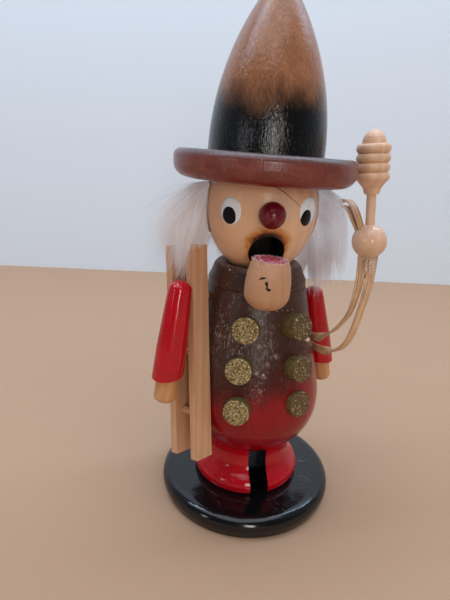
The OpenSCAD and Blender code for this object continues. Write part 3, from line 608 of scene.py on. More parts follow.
class SMOKER_OT_coat(bpy.types.Operator):
    """Coat sprayed brown over dark red, with grain, dust and a worn collar"""

    bl_idname = "smoker.coat"
    bl_label = "Coat"

    def execute(self, context):
        finishes = context.scene.smoker_finishes
        brown, red = (*finishes.coat_brown, 1), (*finishes.coat_red, 1)
        # Brown lacquer sprayed thin over dark red on turned beech: the open grain shows as upright streaks
        made, tree, shader = finish(
            "Brown over red lacquer, sprayed",
            {"Base Color": brown, "Roughness": 0.22, "IOR": 1.45},
        )
        axes = add(tree, "SeparateXYZ", measured(tree))
        high, side = axes.outputs["Z"], axes.outputs["X"]
        grain = cloudy(tree, (0.5, 0.5, 10), 0.3, 0.7, 4)
        drift = cloudy(tree, (7, 7, 9), 0.2, 0.8, 3)
        # the spray's edge lies higher on the figure's left, and wanders; where the brown reaches lower on the
        # figure's right, beside the ladder, it is partly painted shadow of the ladder
        edge = add(tree, "Math MULTIPLY_ADD", side, -0.35, high)
        edge = add(tree, "Math MULTIPLY_ADD", drift, -7.0, edge)
        edge = add(tree, "Math MULTIPLY_ADD", grain, -2.5, edge)
        lighter = layered(tree, brown, ("#5A3A2C", grain, 0.4))
        deep_red = layered(tree, red, ("#A01420", drift, 0.45))
        tone = layered(tree, deep_red, ("#451310", add(tree, "MapRange SMOOTHSTEP", edge, 39, 52)))
        sprayed = add(tree, "MapRange SMOOTHSTEP", edge, 49, 62)
        tone = layered(
            tree,
            tone,
            (lighter, sprayed),
            ("#241A17", cloudy(tree, (0.35, 0.35, 5), 0.6, 0.7, 3), 0.35),
        )
        # dust caught in the varnish: crumbs of 0.2 mm, thickest on the chest, and chalky upright streaks
        up = add(tree, "MapRange SMOOTHSTEP", high, 44, 66)
        crumb = None
        for cell, large in ((1.0, 0.2), (2.4, 0.17)):
            grid = add(tree, "TexVoronoi", {"Vector": measured(tree, (cell, cell, cell)), "Scale": 1.0})
            chance = add(tree, "SeparateColor", grid.outputs["Color"])
            size = add(tree, "MapRange", {"Value": chance, "From Min": 0.5, "To Max": large})
            here = add(tree, "Math LESS_THAN", grid.outputs["Distance"], size)
            crumb = here if crumb is None else add(tree, "Math ADD", crumb, here, use_clamp=True)
        # chalky upright streaks, thickest on the figure's right breast
        chalky = spot(tree, (-12, -20, 70), 6, 20)
        streak = add(
            tree, "Math MULTIPLY", cloudy(tree, (0.32, 0.32, 6), 0.52, 0.68, 4),
            cloudy(tree, (5, 5, 12), 0.35, 0.65, 2),
        )
        streak = add(
            tree, "Math MULTIPLY", streak,
            add(tree, "Math MULTIPLY_ADD", chalky, 0.85, 0.12, use_clamp=True),
        )
        gather = add(tree, "Math MULTIPLY", up, cloudy(tree, (4, 4, 6), 0.34, 0.58, 2))
        dust = add(
            tree, "Math MULTIPLY_ADD", add(tree, "Math MULTIPLY", crumb, gather), 0.75,
            add(tree, "Math MULTIPLY", add(tree, "Math MULTIPLY", streak, up), 0.5), use_clamp=True,
        )
        tone = layered(tree, tone, ("#D8CCC4", dust))
        rings = None
        for at in SPOTS:
            bloom = add(tree, "Math MULTIPLY", spot(tree, at, 0.3, 1.15), 0.42)
            rings = bloom if rings is None else add(tree, "Math ADD", rings, bloom, use_clamp=True)
        tone = layered(tree, tone, ("#C9A9A0", rings, cloudy(tree, (0.5, 0.5, 0.5), 0.35, 0.62, 2)))
        # the collar's lip is rubbed down to the wood
        lip = add(
            tree, "Math MULTIPLY", add(tree, "MapRange SMOOTHSTEP", high, 90.4, 90.95),
            cloudy(tree, (1.6, 1.6, 1.6), 0.4, 0.6, 3),
        )
        tone = layered(tree, tone, ("#9A8474", lip, 0.5))
        # soot in the smoke chamber and the bores
        inside = add(
            tree, "VectorMath LENGTH", add(tree, "CombineXYZ", {"X": side, "Y": axes.outputs["Y"]})
        )
        sooty = add(tree, "MapRange SMOOTHSTEP", inside.outputs["Value"], 13.3, 12.9)
        tone = layered(tree, tone, ("#1A1410", sooty, add(tree, "MapRange SMOOTHSTEP", high, 90, 88.5)))
        feed(shader, {
            "Base Color": tone,
            "Roughness": add(tree, "Math MULTIPLY_ADD", sprayed, 0.17, 0.17, use_clamp=True),
        })
        peel = cloudy(tree, (1.1, 1.1, 1.8), 0.25, 0.75, 2)
        feed(shader, {
            "Normal": add(tree, "Bump", {
                "Height": add(
                    tree, "Math MULTIPLY_ADD", grain, 0.3, add(tree, "Math MULTIPLY", peel, 0.6),
                    use_clamp=True,
                ),
                "Distance": 0.07 * MM,
            }),
        })
        dress("coat", made)

        # Wood glue, dried in the air: honey-coloured, half clear, smooth
        glue, tree, shader = finish(
            "Wood glue, dried", {"Base Color": rgba("#DCC4AC"), "Roughness": 0.14, "IOR": 1.46}
        )
        skin = cloudy(tree, (0.7, 0.7, 0.7), 0.35, 0.65, 3)
        feed(shader, {
            "Base Color": layered(tree, "#E4D0BC", ("#C29E80", skin)),
            "Normal": add(tree, "Bump", {"Height": skin, "Distance": 0.05 * MM}),
        })
        drop("glue_drop_coat", (14.55, -15.6, 66.9), (0.95, 0.95, 0.8), UPPER, "coat_lacquer", glue, seed=2)
        # below the ball the glue has run down between the strands
        drop("glue_under_ball_a", (36.2, -7.0, 93.4), (1.9, 1.0, 0.9), UPPER, "brush_wood", glue, seed=3)
        drop("glue_under_ball_b", (39.4, -8.0, 93.4), (1.9, 1.0, 0.9), UPPER, "brush_wood", glue, seed=4)
        drop("glue_run", (37.55, -8.05, 90.2), (1.0, 0.75, 4.2), UPPER, "cane_rattan", glue, seed=5)
        drop("glue_run_outer", (38.9, -8.95, 90.6), (1.25, 0.5, 3.4), UPPER, "cane_rattan", glue, seed=6)
        return {"FINISHED"}


# Head and face


class SMOKER_OT_head(bpy.types.Operator):
    """Head with its scorched mouth, painted eyes, nose bead and the thread on the forehead"""

    bl_idname = "smoker.head"
    bl_label = "Head and face"

    def execute(self, context):
        finishes, face = context.scene.smoker_finishes, context.scene.smoker_face
        base = (*finishes.head_wood, 1)
        # Lime wood is pale and even, with fine short fibres; clear varnish gives it a soft shine
        made, tree, shader, tone = wood(
            "Lime wood, clear varnished", base, size=1.2, gloss=0.3, contrast=0.5, rings=3.2
        )
        local = measured(tree, turn=(0, 0, HEAD_TURN))
        axes = add(tree, "SeparateXYZ", local)
        flat = add(tree, "CombineXYZ", {
            "X": axes.outputs["X"], "Z": add(tree, "Math SUBTRACT", axes.outputs["Z"], MOUTH_Z)
        })
        away = add(tree, "VectorMath LENGTH", flat)
        front = add(tree, "MapRange SMOOTHSTEP", axes.outputs["Y"], 6, 4.5)
        lift = add(
            tree, "Math MULTIPLY",
            add(tree, "MapRange SMOOTHSTEP", axes.outputs["Z"], MOUTH_Z - 1, MOUTH_Z + 6),
            face.scorch / MM * 1.1,
        )
        rough_edge = cloudy(tree, (1.6, 1.6, 1.6), 0.2, 0.8, 3)
        reach = add(tree, "Math SUBTRACT", add(tree, "Math SUBTRACT", away, rough_edge), lift)
        scorch = add(
            tree, "ValToRGB", add(tree, "MapRange", reach, MOUTH_R - 3.4, MOUTH_R + face.scorch / MM * 0.7)
        )
        stops = scorch.color_ramp.elements
        stops[0].position, stops[0].color = 0.16, rgba("#1B0D08")
        stops[1].position, stops[1].color = 1.0, (*base[:3], 1)
        for place, code in ((0.3, "#5A2410"), (0.46, "#BC6522"), (0.68, "#DDA060")):
            stop = stops.new(place)
            stop.color = rgba(code)
        burnt = add(
            tree, "Math MULTIPLY",
            add(tree, "MapRange SMOOTHSTEP", reach, MOUTH_R + face.scorch / MM * 0.7, MOUTH_R), front,
        )
        tone = layered(tree, tone, (scorch.outputs["Color"], burnt))
        soot = add(tree, "Math MULTIPLY", add(tree, "Math LESS_THAN", away, MOUTH_R + 0.06), front)
        tone = layered(tree, tone, ("#050404", soot))
        axis_off = add(
            tree, "VectorMath LENGTH",
            add(tree, "CombineXYZ", {"X": axes.outputs["X"], "Y": axes.outputs["Y"]}),
        )
        tone = layered(
            tree, tone, ("#0B0807", add(tree, "MapRange SMOOTHSTEP", axis_off.outputs["Value"], 6.3, 5.9))
        )
        # small brown flecks in the varnish beside the nose
        flecks = cloudy(tree, (0.5, 0.5, 1.1), 0.735, 0.76, 1)
        tone = layered(tree, tone, ("#8A5A3C", flecks, 0.45))
        # pale scuffs on the forehead above the nose
        rubbed = add(
            tree, "Math MULTIPLY", spot(tree, (3, -22.5, 113.5), 1, 9),
            cloudy(tree, (1.1, 1.1, 2.6), 0.42, 0.66, 4),
        )
        tone = layered(tree, tone, ("#DCD2C6", rubbed, 0.8))
        feed(shader, {
            "Base Color": tone, "Roughness": add(tree, "Math MULTIPLY_ADD", soot, 0.4, 0.46, use_clamp=True)
        })
        dress("head", made)

        red = (*finishes.nose_red, 1)
        # Dark red lacquer dipped over a bead: thick, glossy, with a fine orange-peel skin
        made, tree, shader = finish(
            "Dark red lacquer, dipped bead",
            {"Base Color": red, "Roughness": 0.16, "IOR": 1.5},
        )
        peel = cloudy(tree, (0.7, 0.7, 0.7), 0.3, 0.7, 3)
        worn = cloudy(tree, (1.3, 1.3, 1.3), 0.52, 0.66, 4)
        tone = layered(tree, red, ("#A63A4C", worn, 0.35), ("#3E0710", peel, 0.3))
        feed(shader, {
            "Base Color": tone, "Normal": add(tree, "Bump", {"Height": peel, "Distance": 0.035 * MM})
        })
        dress("nose", made)

        # Enamel paint dotted on with a stick: thick, flat white and black with rounded edges
        white, tree, shader = finish(
            "White enamel paint, hand dotted",
            {"Base Color": rgba("#EEF4F8"), "Roughness": 0.2, "IOR": 1.5},
        )
        thin = cloudy(tree, (1.4, 1.4, 2.2), 0.45, 0.75, 3)
        feed(shader, {
            "Base Color": layered(tree, "#F1F7FB", ("#D3DCE3", thin, 0.5)),
            "Normal": add(tree, "Bump", {"Height": thin, "Distance": 0.03 * MM}),
        })
        black, tree, shader = finish(
            "Black enamel paint, hand dotted",
            {"Base Color": rgba("#040405"), "Roughness": 0.2, "IOR": 1.4, "Specular IOR Level": 0.3},
        )
        lumps = cloudy(tree, (0.9, 0.9, 0.9), 0.3, 0.7, 3)
        feed(shader, {
            "Base Color": layered(tree, "#030304", ("#0B0B0D", lumps)),
            "Normal": add(tree, "Bump", {"Height": lumps, "Distance": 0.04 * MM}),
        })
        surface = tree_of("head")
        tall = face.eye_height / MM
        for side, at, wide, pupil_at, pupil in (
            ("right", (-47.8, 109.6), 3.9, (-48.6, 108.4), (2.75, 3.0)),
            ("left", (36.8, 110.3), 4.75, (33.0, 108.4), (2.75, 2.8)),
        ):
            th, z = at
            where, out = round_about(th, head_r(z), z), round_about(th, 1, 0)
            patch(
                f"eye_white_{side}", surface, where, out, wide, tall, UPPER, "head_wood", white, 0.1,
                seed=3 if side == "left" else 5,
            )
            th, z = pupil_at
            where, out = round_about(th, head_r(z), z), round_about(th, 1, 0)
            patch(
                f"eye_pupil_{side}", surface, where, out, *pupil, UPPER, "head_wood", black, 0.22, seed=8,
                uneven=0.06,
            )

        # One fine brown thread lies on the forehead under the brim
        thread, tree, shader = finish("Brown fibre, fine", {
            "Base Color": rgba("#5B4033"), "Roughness": 0.6
        })
        feed(shader, {"Base Color": layered(tree, "#6A4A3A", ("#3E2A22", cloudy(tree, (0.6, 0.6, 0.6))))})
        line = smooth_curve(
            [
                round_about(th, head_r(z) + 0.14, z)
                for th, z in ((-3, 117.4), (1, 116.6), (6, 115.8), (10.5, 114.5), (16, 113.4), (22, 111.8))
            ],
            6,
        )
        tube("forehead_thread", line, 0.13, UPPER, "head_wood", thread)
        return {"FINISHED"}


def tube(name, line, radius, body, slot, made, sides=6):
    """A thin round fibre along a line of points in mm, thinner towards its end."""
    points, faces = [], []
    for k, p in enumerate(line):
        ahead = Vector(line[min(k + 1, len(line) - 1)] - line[max(k - 1, 0)]).normalized()
        across = ahead.orthogonal().normalized()
        over = ahead.cross(across)
        r = radius * (1 - 0.6 * k / (len(line) - 1))
        points += [
            Vector(p) + (across * math.cos(a) + over * math.sin(a)) * r
            for a in (2 * math.pi * i / sides for i in range(sides))
        ]
    for k in range(len(line) - 1):
        faces += [
            (
                k * sides + i, k * sides + (i + 1) % sides, (k + 1) * sides + (i + 1) % sides,
                (k + 1) * sides + i,
            )
            for i in range(sides)
        ]
    faces += [[i for i in reversed(range(sides))], [(len(line) - 1) * sides + i for i in range(sides)]]
    return piece(name, points, faces, body, slot, made)


# Hat


class SMOKER_OT_hat(bpy.types.Operator):
    """Stained brim and the crown that shades from brown to black"""

    bl_idname = "smoker.hat"
    bl_label = "Hat"

    def execute(self, context):
        finishes = context.scene.smoker_finishes
        origin = (0, 0, BRIM_Z)
        brown = (*finishes.brim_brown, 1)
        # Red-brown stain under satin varnish: the grain's open pores stay pale with dust
        made, tree, shader = finish(
            "Red-brown stain, satin varnished",
            {"Base Color": brown, "Roughness": 0.3, "IOR": 1.5},
        )
        axes = add(tree, "SeparateXYZ", measured(tree, origin=origin, turn=HAT_TURN))
        grain = cloudy(tree, (0.5, 0.5, 3.0), 0.3, 0.7, 4, origin, HAT_TURN)
        patches = cloudy(tree, (7, 7, 3), 0.3, 0.7, 3, origin, HAT_TURN)
        dusty = cloudy(tree, (0.4, 0.4, 0.9), 0.63, 0.72, 3, origin, HAT_TURN)
        # the brim's top is greyed: partly dust, partly a painted reflection of the pale room
        upper = add(tree, "MapRange SMOOTHSTEP", axes.outputs["Z"], BRIM_T - 2.8, BRIM_T - 0.2)
        under = add(tree, "MapRange SMOOTHSTEP", axes.outputs["Z"], 3.4, 0.4)
        tone = layered(
            tree,
            brown,
            ("#4E241E", grain, 0.5),
            ("#8E4A3C", patches, 0.45),
            ("#7A1216", under, 0.7),
            ("#4A423C", upper, 0.8),
            ("#C09484", dusty, 0.45),
        )
        feed(shader, {
            "Base Color": tone,
            "Roughness": add(tree, "MapRange", {"Value": patches, "To Min": 0.16, "To Max": 0.3}),
            "Normal": add(tree, "Bump", {
                "Height": add(tree, "Math MULTIPLY_ADD", grain, 0.5, dusty, use_clamp=True),
                "Distance": 0.06 * MM,
            }),
        })
        dress("hat_brim", made)

        top, low = (*finishes.crown_brown, 1), (*finishes.crown_black, 1)
        # Brown stain, sprayed black from the brim upwards, under gloss varnish: its grain catches the light
        made, tree, shader = finish(
            "Brown stain sprayed black, gloss varnished",
            {"Base Color": top, "Roughness": 0.12, "IOR": 1.5},
        )
        height = add(tree, "SeparateXYZ", measured(tree, origin=origin, turn=HAT_TURN)).outputs["Z"]
        grain = cloudy(tree, (0.45, 0.45, 6), 0.3, 0.7, 5, origin, HAT_TURN)
        broad = cloudy(tree, (2.4, 2.4, 60), 0.3, 0.7, 3, origin, HAT_TURN)
        mottled = cloudy(tree, (7, 7, 9), 0.2, 0.8, 2, origin, HAT_TURN)
        specks = cloudy(tree, (0.4, 0.4, 0.6), 0.6, 0.7, 3, origin, HAT_TURN)
        # the black is thin at one place in front, where the brown shows through as a grey haze
        haze = spot(tree, (-6, -13, BRIM_Z + BRIM_T + 12), 1, 9)
        edge = add(tree, "Math MULTIPLY_ADD", mottled, -3.0, height)
        edge = add(tree, "Math MULTIPLY_ADD", grain, -1.4, edge)
        edge = add(tree, "Math MULTIPLY_ADD", haze, 3.5, edge)
        clear = add(tree, "MapRange SMOOTHSTEP", edge, BRIM_T + 8.5, BRIM_T + 21)
        tone = layered(
            tree,
            top,
            ("#7C4E33", grain, 0.45),
            ("#6A4029", broad, 0.4),
            ("#DDAE7C", specks, 0.38),
        )
        tone = layered(
            tree,
            low,
            (tone, clear),
            ("#3C3434", haze, 0.3),
            ("#8C8682", specks, 0.2, add(tree, "MapRange SMOOTHSTEP", height, BRIM_T + 20, BRIM_T + 3)),
        )
        feed(shader, {"Base Color": tone})
        peel = cloudy(tree, (0.8, 0.8, 1.3), 0.25, 0.75, 2, origin, HAT_TURN)
        feed(shader, {
            "Normal": add(tree, "Bump", {
                "Height": add(
                    tree, "Math MULTIPLY_ADD", grain, 0.45, add(tree, "Math MULTIPLY", peel, 0.55),
                    use_clamp=True,
                ),
                "Distance": 0.07 * MM,
            }),
        })
        dress("hat_crown", made)
        return {"FINISHED"}


# Fur


HAIR_FROM, HAIR_TO, HAIR_TOP, HAIR_LOW = 88.0, 258.0, 117.2, 101.5


def fur_strands(count, span, fan, droop, length, lean, keep, seed, width):
    """Flat tapered hairs that leave the skin strip in locks, fan out and droop; also their shading normals.

    span is the part of the strip, thickest at its first end; fan is the rise of the uppermost and of the
    lowest hairs, droop how far they sink on their way, and lean how far the locks at the face's edge
    turn to the front, all in degrees. keep(roots, tips) gives the share of each hair that is left standing.
    """
    rng = np.random.default_rng(seed)
    locks, steps = max(12, count // 36), 5
    lock_th = span[0] + (span[1] - span[0]) * rng.random(locks) ** 1.35
    lock_z = rng.uniform(HAIR_LOW, HAIR_TOP, locks)
    lock_turn, lock_rise = rng.normal(0, 10, locks), rng.normal(0, 7, locks)
    lock_long, lock_pull = rng.uniform(0.78, 1.18, locks), rng.uniform(0.4, 0.92, locks)
    which = rng.integers(0, locks, count)
    th = np.clip(lock_th[which] + rng.normal(0, 3.5, count), min(span), max(span))
    z = np.clip(lock_z[which] + rng.normal(0, 1.3, count), HAIR_LOW, HAIR_TOP)
    low = (HAIR_TOP - z) / (HAIR_TOP - HAIR_LOW)
    face_side = np.clip(abs(th - 173) / 92, 0, 1)
    turn = np.radians(th + lock_turn[which] + rng.normal(0, 5, count) + lean * face_side**2)
    rise = np.radians(fan[0] + (fan[1] - fan[0]) * low + lock_rise[which] + rng.normal(0, 4, count))
    long = length * lock_long[which] * rng.uniform(0.66, 1.04, count) * (1 - 0.2 * low)
    sag, swing = np.radians(rng.uniform(*droop, count)), np.radians(rng.normal(0, 8, count))
    r = HEAD_R * np.sqrt(1 - ((z - HEAD_Z) / HEAD_HALF) ** 2) + 0.6
    here = np.stack([r * np.sin(np.radians(th)), -r * np.cos(np.radians(th)), z], 1)
    paths = [here]
    for k in range(steps):
        t = (k + 0.5) / steps
        e, b = np.maximum(rise - sag * t * 1.4, -1.5), turn + swing * t
        here = (
            here
            + (
                np.stack([np.cos(e) * np.sin(b), -np.cos(e) * np.cos(b), np.sin(e)], 1)
                * (long / steps)[:, None]
            )
        )
        paths.append(here)
    paths = np.stack(paths, 1)
    draw = np.linspace(0, 1, steps + 1)[None, :, None] ** 1.4
    for lock in range(locks):
        mine = which == lock
        if mine.any():
            paths[mine] += (paths[mine].mean(0)[None] - paths[mine]) * draw * lock_pull[lock]
    # hairs lie over the head and the collar, and under the brim
    out = np.hypot(paths[..., 0], paths[..., 1])
    wood = HEAD_R * np.sqrt(np.clip(1 - ((paths[..., 2] - HEAD_Z) / HEAD_HALF) ** 2, 0, 1)) + 0.7
    wood = np.maximum(wood, np.where(paths[..., 2] < 92, 18.4, 0))
    push = np.maximum(1, wood / np.maximum(out, 1e-6))
    paths[..., :2] *= push[..., None]
    paths[..., 2] = np.where(out < 31.5, np.minimum(paths[..., 2], BRIM_Z - 1.1), paths[..., 2])
    left = np.clip(keep(paths[:, 0], paths[:, -1]), 0.3, 1) * rng.uniform(0.86, 1, count)
    paths = paths[:, :1] + (paths - paths[:, :1]) * left[:, None, None]
    ahead = np.gradient(paths, axis=1)
    ahead /= np.linalg.norm(ahead, axis=2, keepdims=True) + 1e-9
    outward = paths * (1, 1, 0) / np.maximum(out, 1e-6)[..., None] + (0, 0, 0.25)
    facing = outward + rng.normal(0, 0.45, (count, 1, 3))
    across = np.cross(facing, ahead)
    across /= np.linalg.norm(across, axis=2, keepdims=True) + 1e-9
    taper = (
        np.linspace(1, 0.14, steps + 1)[None, :, None] * width / 2
        * rng.uniform(0.6, 1.2, (count, 1, 1))
    )
    points = np.stack([paths - across * taper, paths + across * taper], 2).reshape(-1, 3)
    soft = np.cross(ahead, across) * 0.45 + outward * 0.55
    soft = np.repeat(soft / np.linalg.norm(soft, axis=2, keepdims=True), 2, axis=1).reshape(-1, 3)
    first = (np.arange(count) * (steps + 1) * 2)[:, None, None]
    row = (np.arange(steps) * 2)[None, :, None]
    faces = (first + row + np.array([0, 2, 3, 1])[None, None, :]).reshape(-1, 4)
    return points, faces, soft


class SMOKER_OT_hair(bpy.types.Operator):
    """Strip of white rabbit fur round the back of the head"""

    bl_idname = "smoker.hair"
    bl_label = "Fur"

    def execute(self, context):
        fur = context.scene.smoker_fur
        white = (*context.scene.smoker_finishes.fur_white, 1)
        # Rabbit fur is white, fine and dense; hairs pass a little light, so tufts glow. Their mauve-grey
        # patches and warmer tone low down are painted shade.
        # A real hair is about 0.03 mm thick: here each one stands for a few, as coarse as it needs to show
        made, tree, shader = finish(
            "Rabbit fur, white",
            {"Base Color": white, "Roughness": 0.6, "IOR": 1.5, "Emission Strength": 0.15},
        )
        shade = cloudy(tree, (6, 6, 9), 0.3, 0.75, 2)
        axes = add(tree, "SeparateXYZ", measured(tree))
        # painted shade: mauve-grey patches through the tufts, and a warmer, darker tone low down
        tone = layered(
            tree,
            white,
            ("#D3CBD0", shade, 0.35),
            ("#DCC9C2", add(tree, "MapRange SMOOTHSTEP", axes.outputs["Z"], 100, 86), 0.35),
        )
        # painted warm light on the figure's right, as bounced from the floor and the wood
        tone = layered(
            tree, tone, ("#E2D3C8", add(tree, "MapRange SMOOTHSTEP", axes.outputs["X"], -14, -26), 0.45)
        )
        feed(shader, {"Base Color": tone})
        # the faint glow is light that white fur scatters from hair to hair more often than a render follows
        feed(shader, {"Emission Color": tone})
        passed = add(tree, "BsdfTranslucent", tone)
        feed(tree.nodes["Material Output"], {"Surface": add(tree, "MixShader", 0.35, shader, passed)})

        def above_rail(root, tip):
            """Hairs in front of the ladder's front rail end at its top."""
            there = (tip[:, 0] > -27) & (tip[:, 0] < -15) & (tip[:, 1] < -3) & (tip[:, 2] < 97.5)
            return np.where(there, (root[:, 2] - 97.5) / np.maximum(root[:, 2] - tip[:, 2], 0.1), 1)

        def beside_ball(root, tip):
            """Hairs on the figure's left end before the ball."""
            end = 26.5 + 0.4 * (tip[:, 1] + 16)
            there = (tip[:, 1] < 2) & (tip[:, 0] > end)
            return np.where(there, (end - root[:, 0]) / np.maximum(tip[:, 0] - root[:, 0], 0.1), 1)

        def whole(root, tip):
            return np.ones(len(tip))

        tufts = (
            # name, share of the hairs, part of the strip, fan, sag, length, turn to the front, what is kept
            ("fur_right_side", 0.44, (274, 208), (-14, -34), (18, 50), 31, 54, above_rail),
            ("fur_left_side", 0.31, (77, 134), (-10, -58), (42, 76), 32, -34, beside_ball),
            ("fur_back", 0.25, (128, 212), (-20, -62), (30, 60), 23, 0, whole),
        )
        for k, (name, share, *shape) in enumerate(tufts):
            points, faces, soft = fur_strands(
                int(fur.strands * share), *shape, fur.seed + k, fur.width / MM
            )
            obj = piece(name, points, faces.tolist(), UPPER, "fur_white", made)
            obj.data.normals_split_custom_set_from_vertices([tuple(n) for n in soft])
            if k == 0:
                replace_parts(obj, "hair_fringe")
        # underfur: a soft dense core below the long hairs
        # painted glow: a faint emission stands for light scattered inside the dense underfur
        under, tree, shader = finish(
            "Rabbit underfur, dense",
            {"Base Color": white, "Roughness": 0.8, "Emission Strength": 0.12},
        )
        down = cloudy(tree, (0.5, 0.5, 2.4), 0.3, 0.7, 4)
        tone = layered(tree, "#F6F3F3", ("#D8CFD2", down))
        feed(shader, {
            "Base Color": tone,
            "Emission Color": tone,
            "Normal": add(tree, "Bump", {"Height": down, "Distance": 0.2 * MM}),
        })
        sector(
            "fur_underlayer", 0.8, 6.0, HAIR_LOW - 1, HAIR_TOP - 0.6, "fur_white", under, 1.6, 11, spread=12
        )
        # the tanned skin that the fur grows from shows as a thin edge beside the face
        hide, tree, shader = finish("Rabbit skin, tanned", {
            "Base Color": rgba("#B89A80"), "Roughness": 0.7
        })
        creased = cloudy(tree, (0.8, 0.8, 0.8), 0.3, 0.7, 4)
        feed(shader, {
            "Base Color": layered(tree, "#C0A186", ("#8E7059", creased)),
            "Normal": add(tree, "Bump", {"Height": creased, "Distance": 0.08 * MM}),
        })
        sector("fur_skin", 0.12, 0.5, HAIR_LOW - 0.5, HAIR_TOP + 0.1, "fur_white", hide, 0.1, 3, spread=15)
        return {"FINISHED"}


def sector(name, inner, outer, low, top, slot, made, lumps, seed, spread=0.0):
    """A lumpy closed band round the back of the head, from inner to outer mm off the wood."""
    across, up = 72, 14
    points = []
    for side, off in ((0, inner), (1, outer)):
        for j in range(up + 1):
            z = low + (top - low) * j / up
            for i in range(across + 1):
                t = i / across
                th = HAIR_FROM - spread + (HAIR_TO - HAIR_FROM + 2 * spread) * t
                thick = off
                if side:
                    ends = min(1, 6 * t, 6 * (1 - t)) ** 0.5
                    rims = min(1, 5 * j / up, 5 * (1 - j / up)) ** 0.5
                    bump = noise.noise(Vector((th * 0.07, z * 0.22, seed)))
                    thick = (
                        inner + 0.15 + (off - inner) * ends * (0.35 + 0.65 * rims)
                        + lumps * bump * ends * rims
                    )
                points.append(round_about(th, head_r(z) + thick, z))
    faces = []
    row, sheet = across + 1, (across + 1) * (up + 1)
    for side in (0, 1):
        for j in range(up):
            for i in range(across):
                q = [
                    side * sheet + j * row + i, side * sheet + j * row + i + 1,
                    side * sheet + (j + 1) * row + i + 1, side * sheet + (j + 1) * row + i,
                ]
                faces.append(q if side else q[::-1])
    rim = [j * row for j in range(up + 1)], [j * row + across for j in range(up + 1)]
    for j in range(up):
        a, b = rim[0][j], rim[0][j + 1]
        faces.append((a, b, b + sheet, a + sheet))
        a, b = rim[1][j], rim[1][j + 1]
        faces.append((b, a, a + sheet, b + sheet))
    for i in range(across):
        faces.append((i + 1, i, i + sheet, i + 1 + sheet))
        a = up * row + i
        faces.append((a, a + 1, a + 1 + sheet, a + sheet))
    return piece(name, points, faces, UPPER, slot, made, flat_above=60)


# Pipe


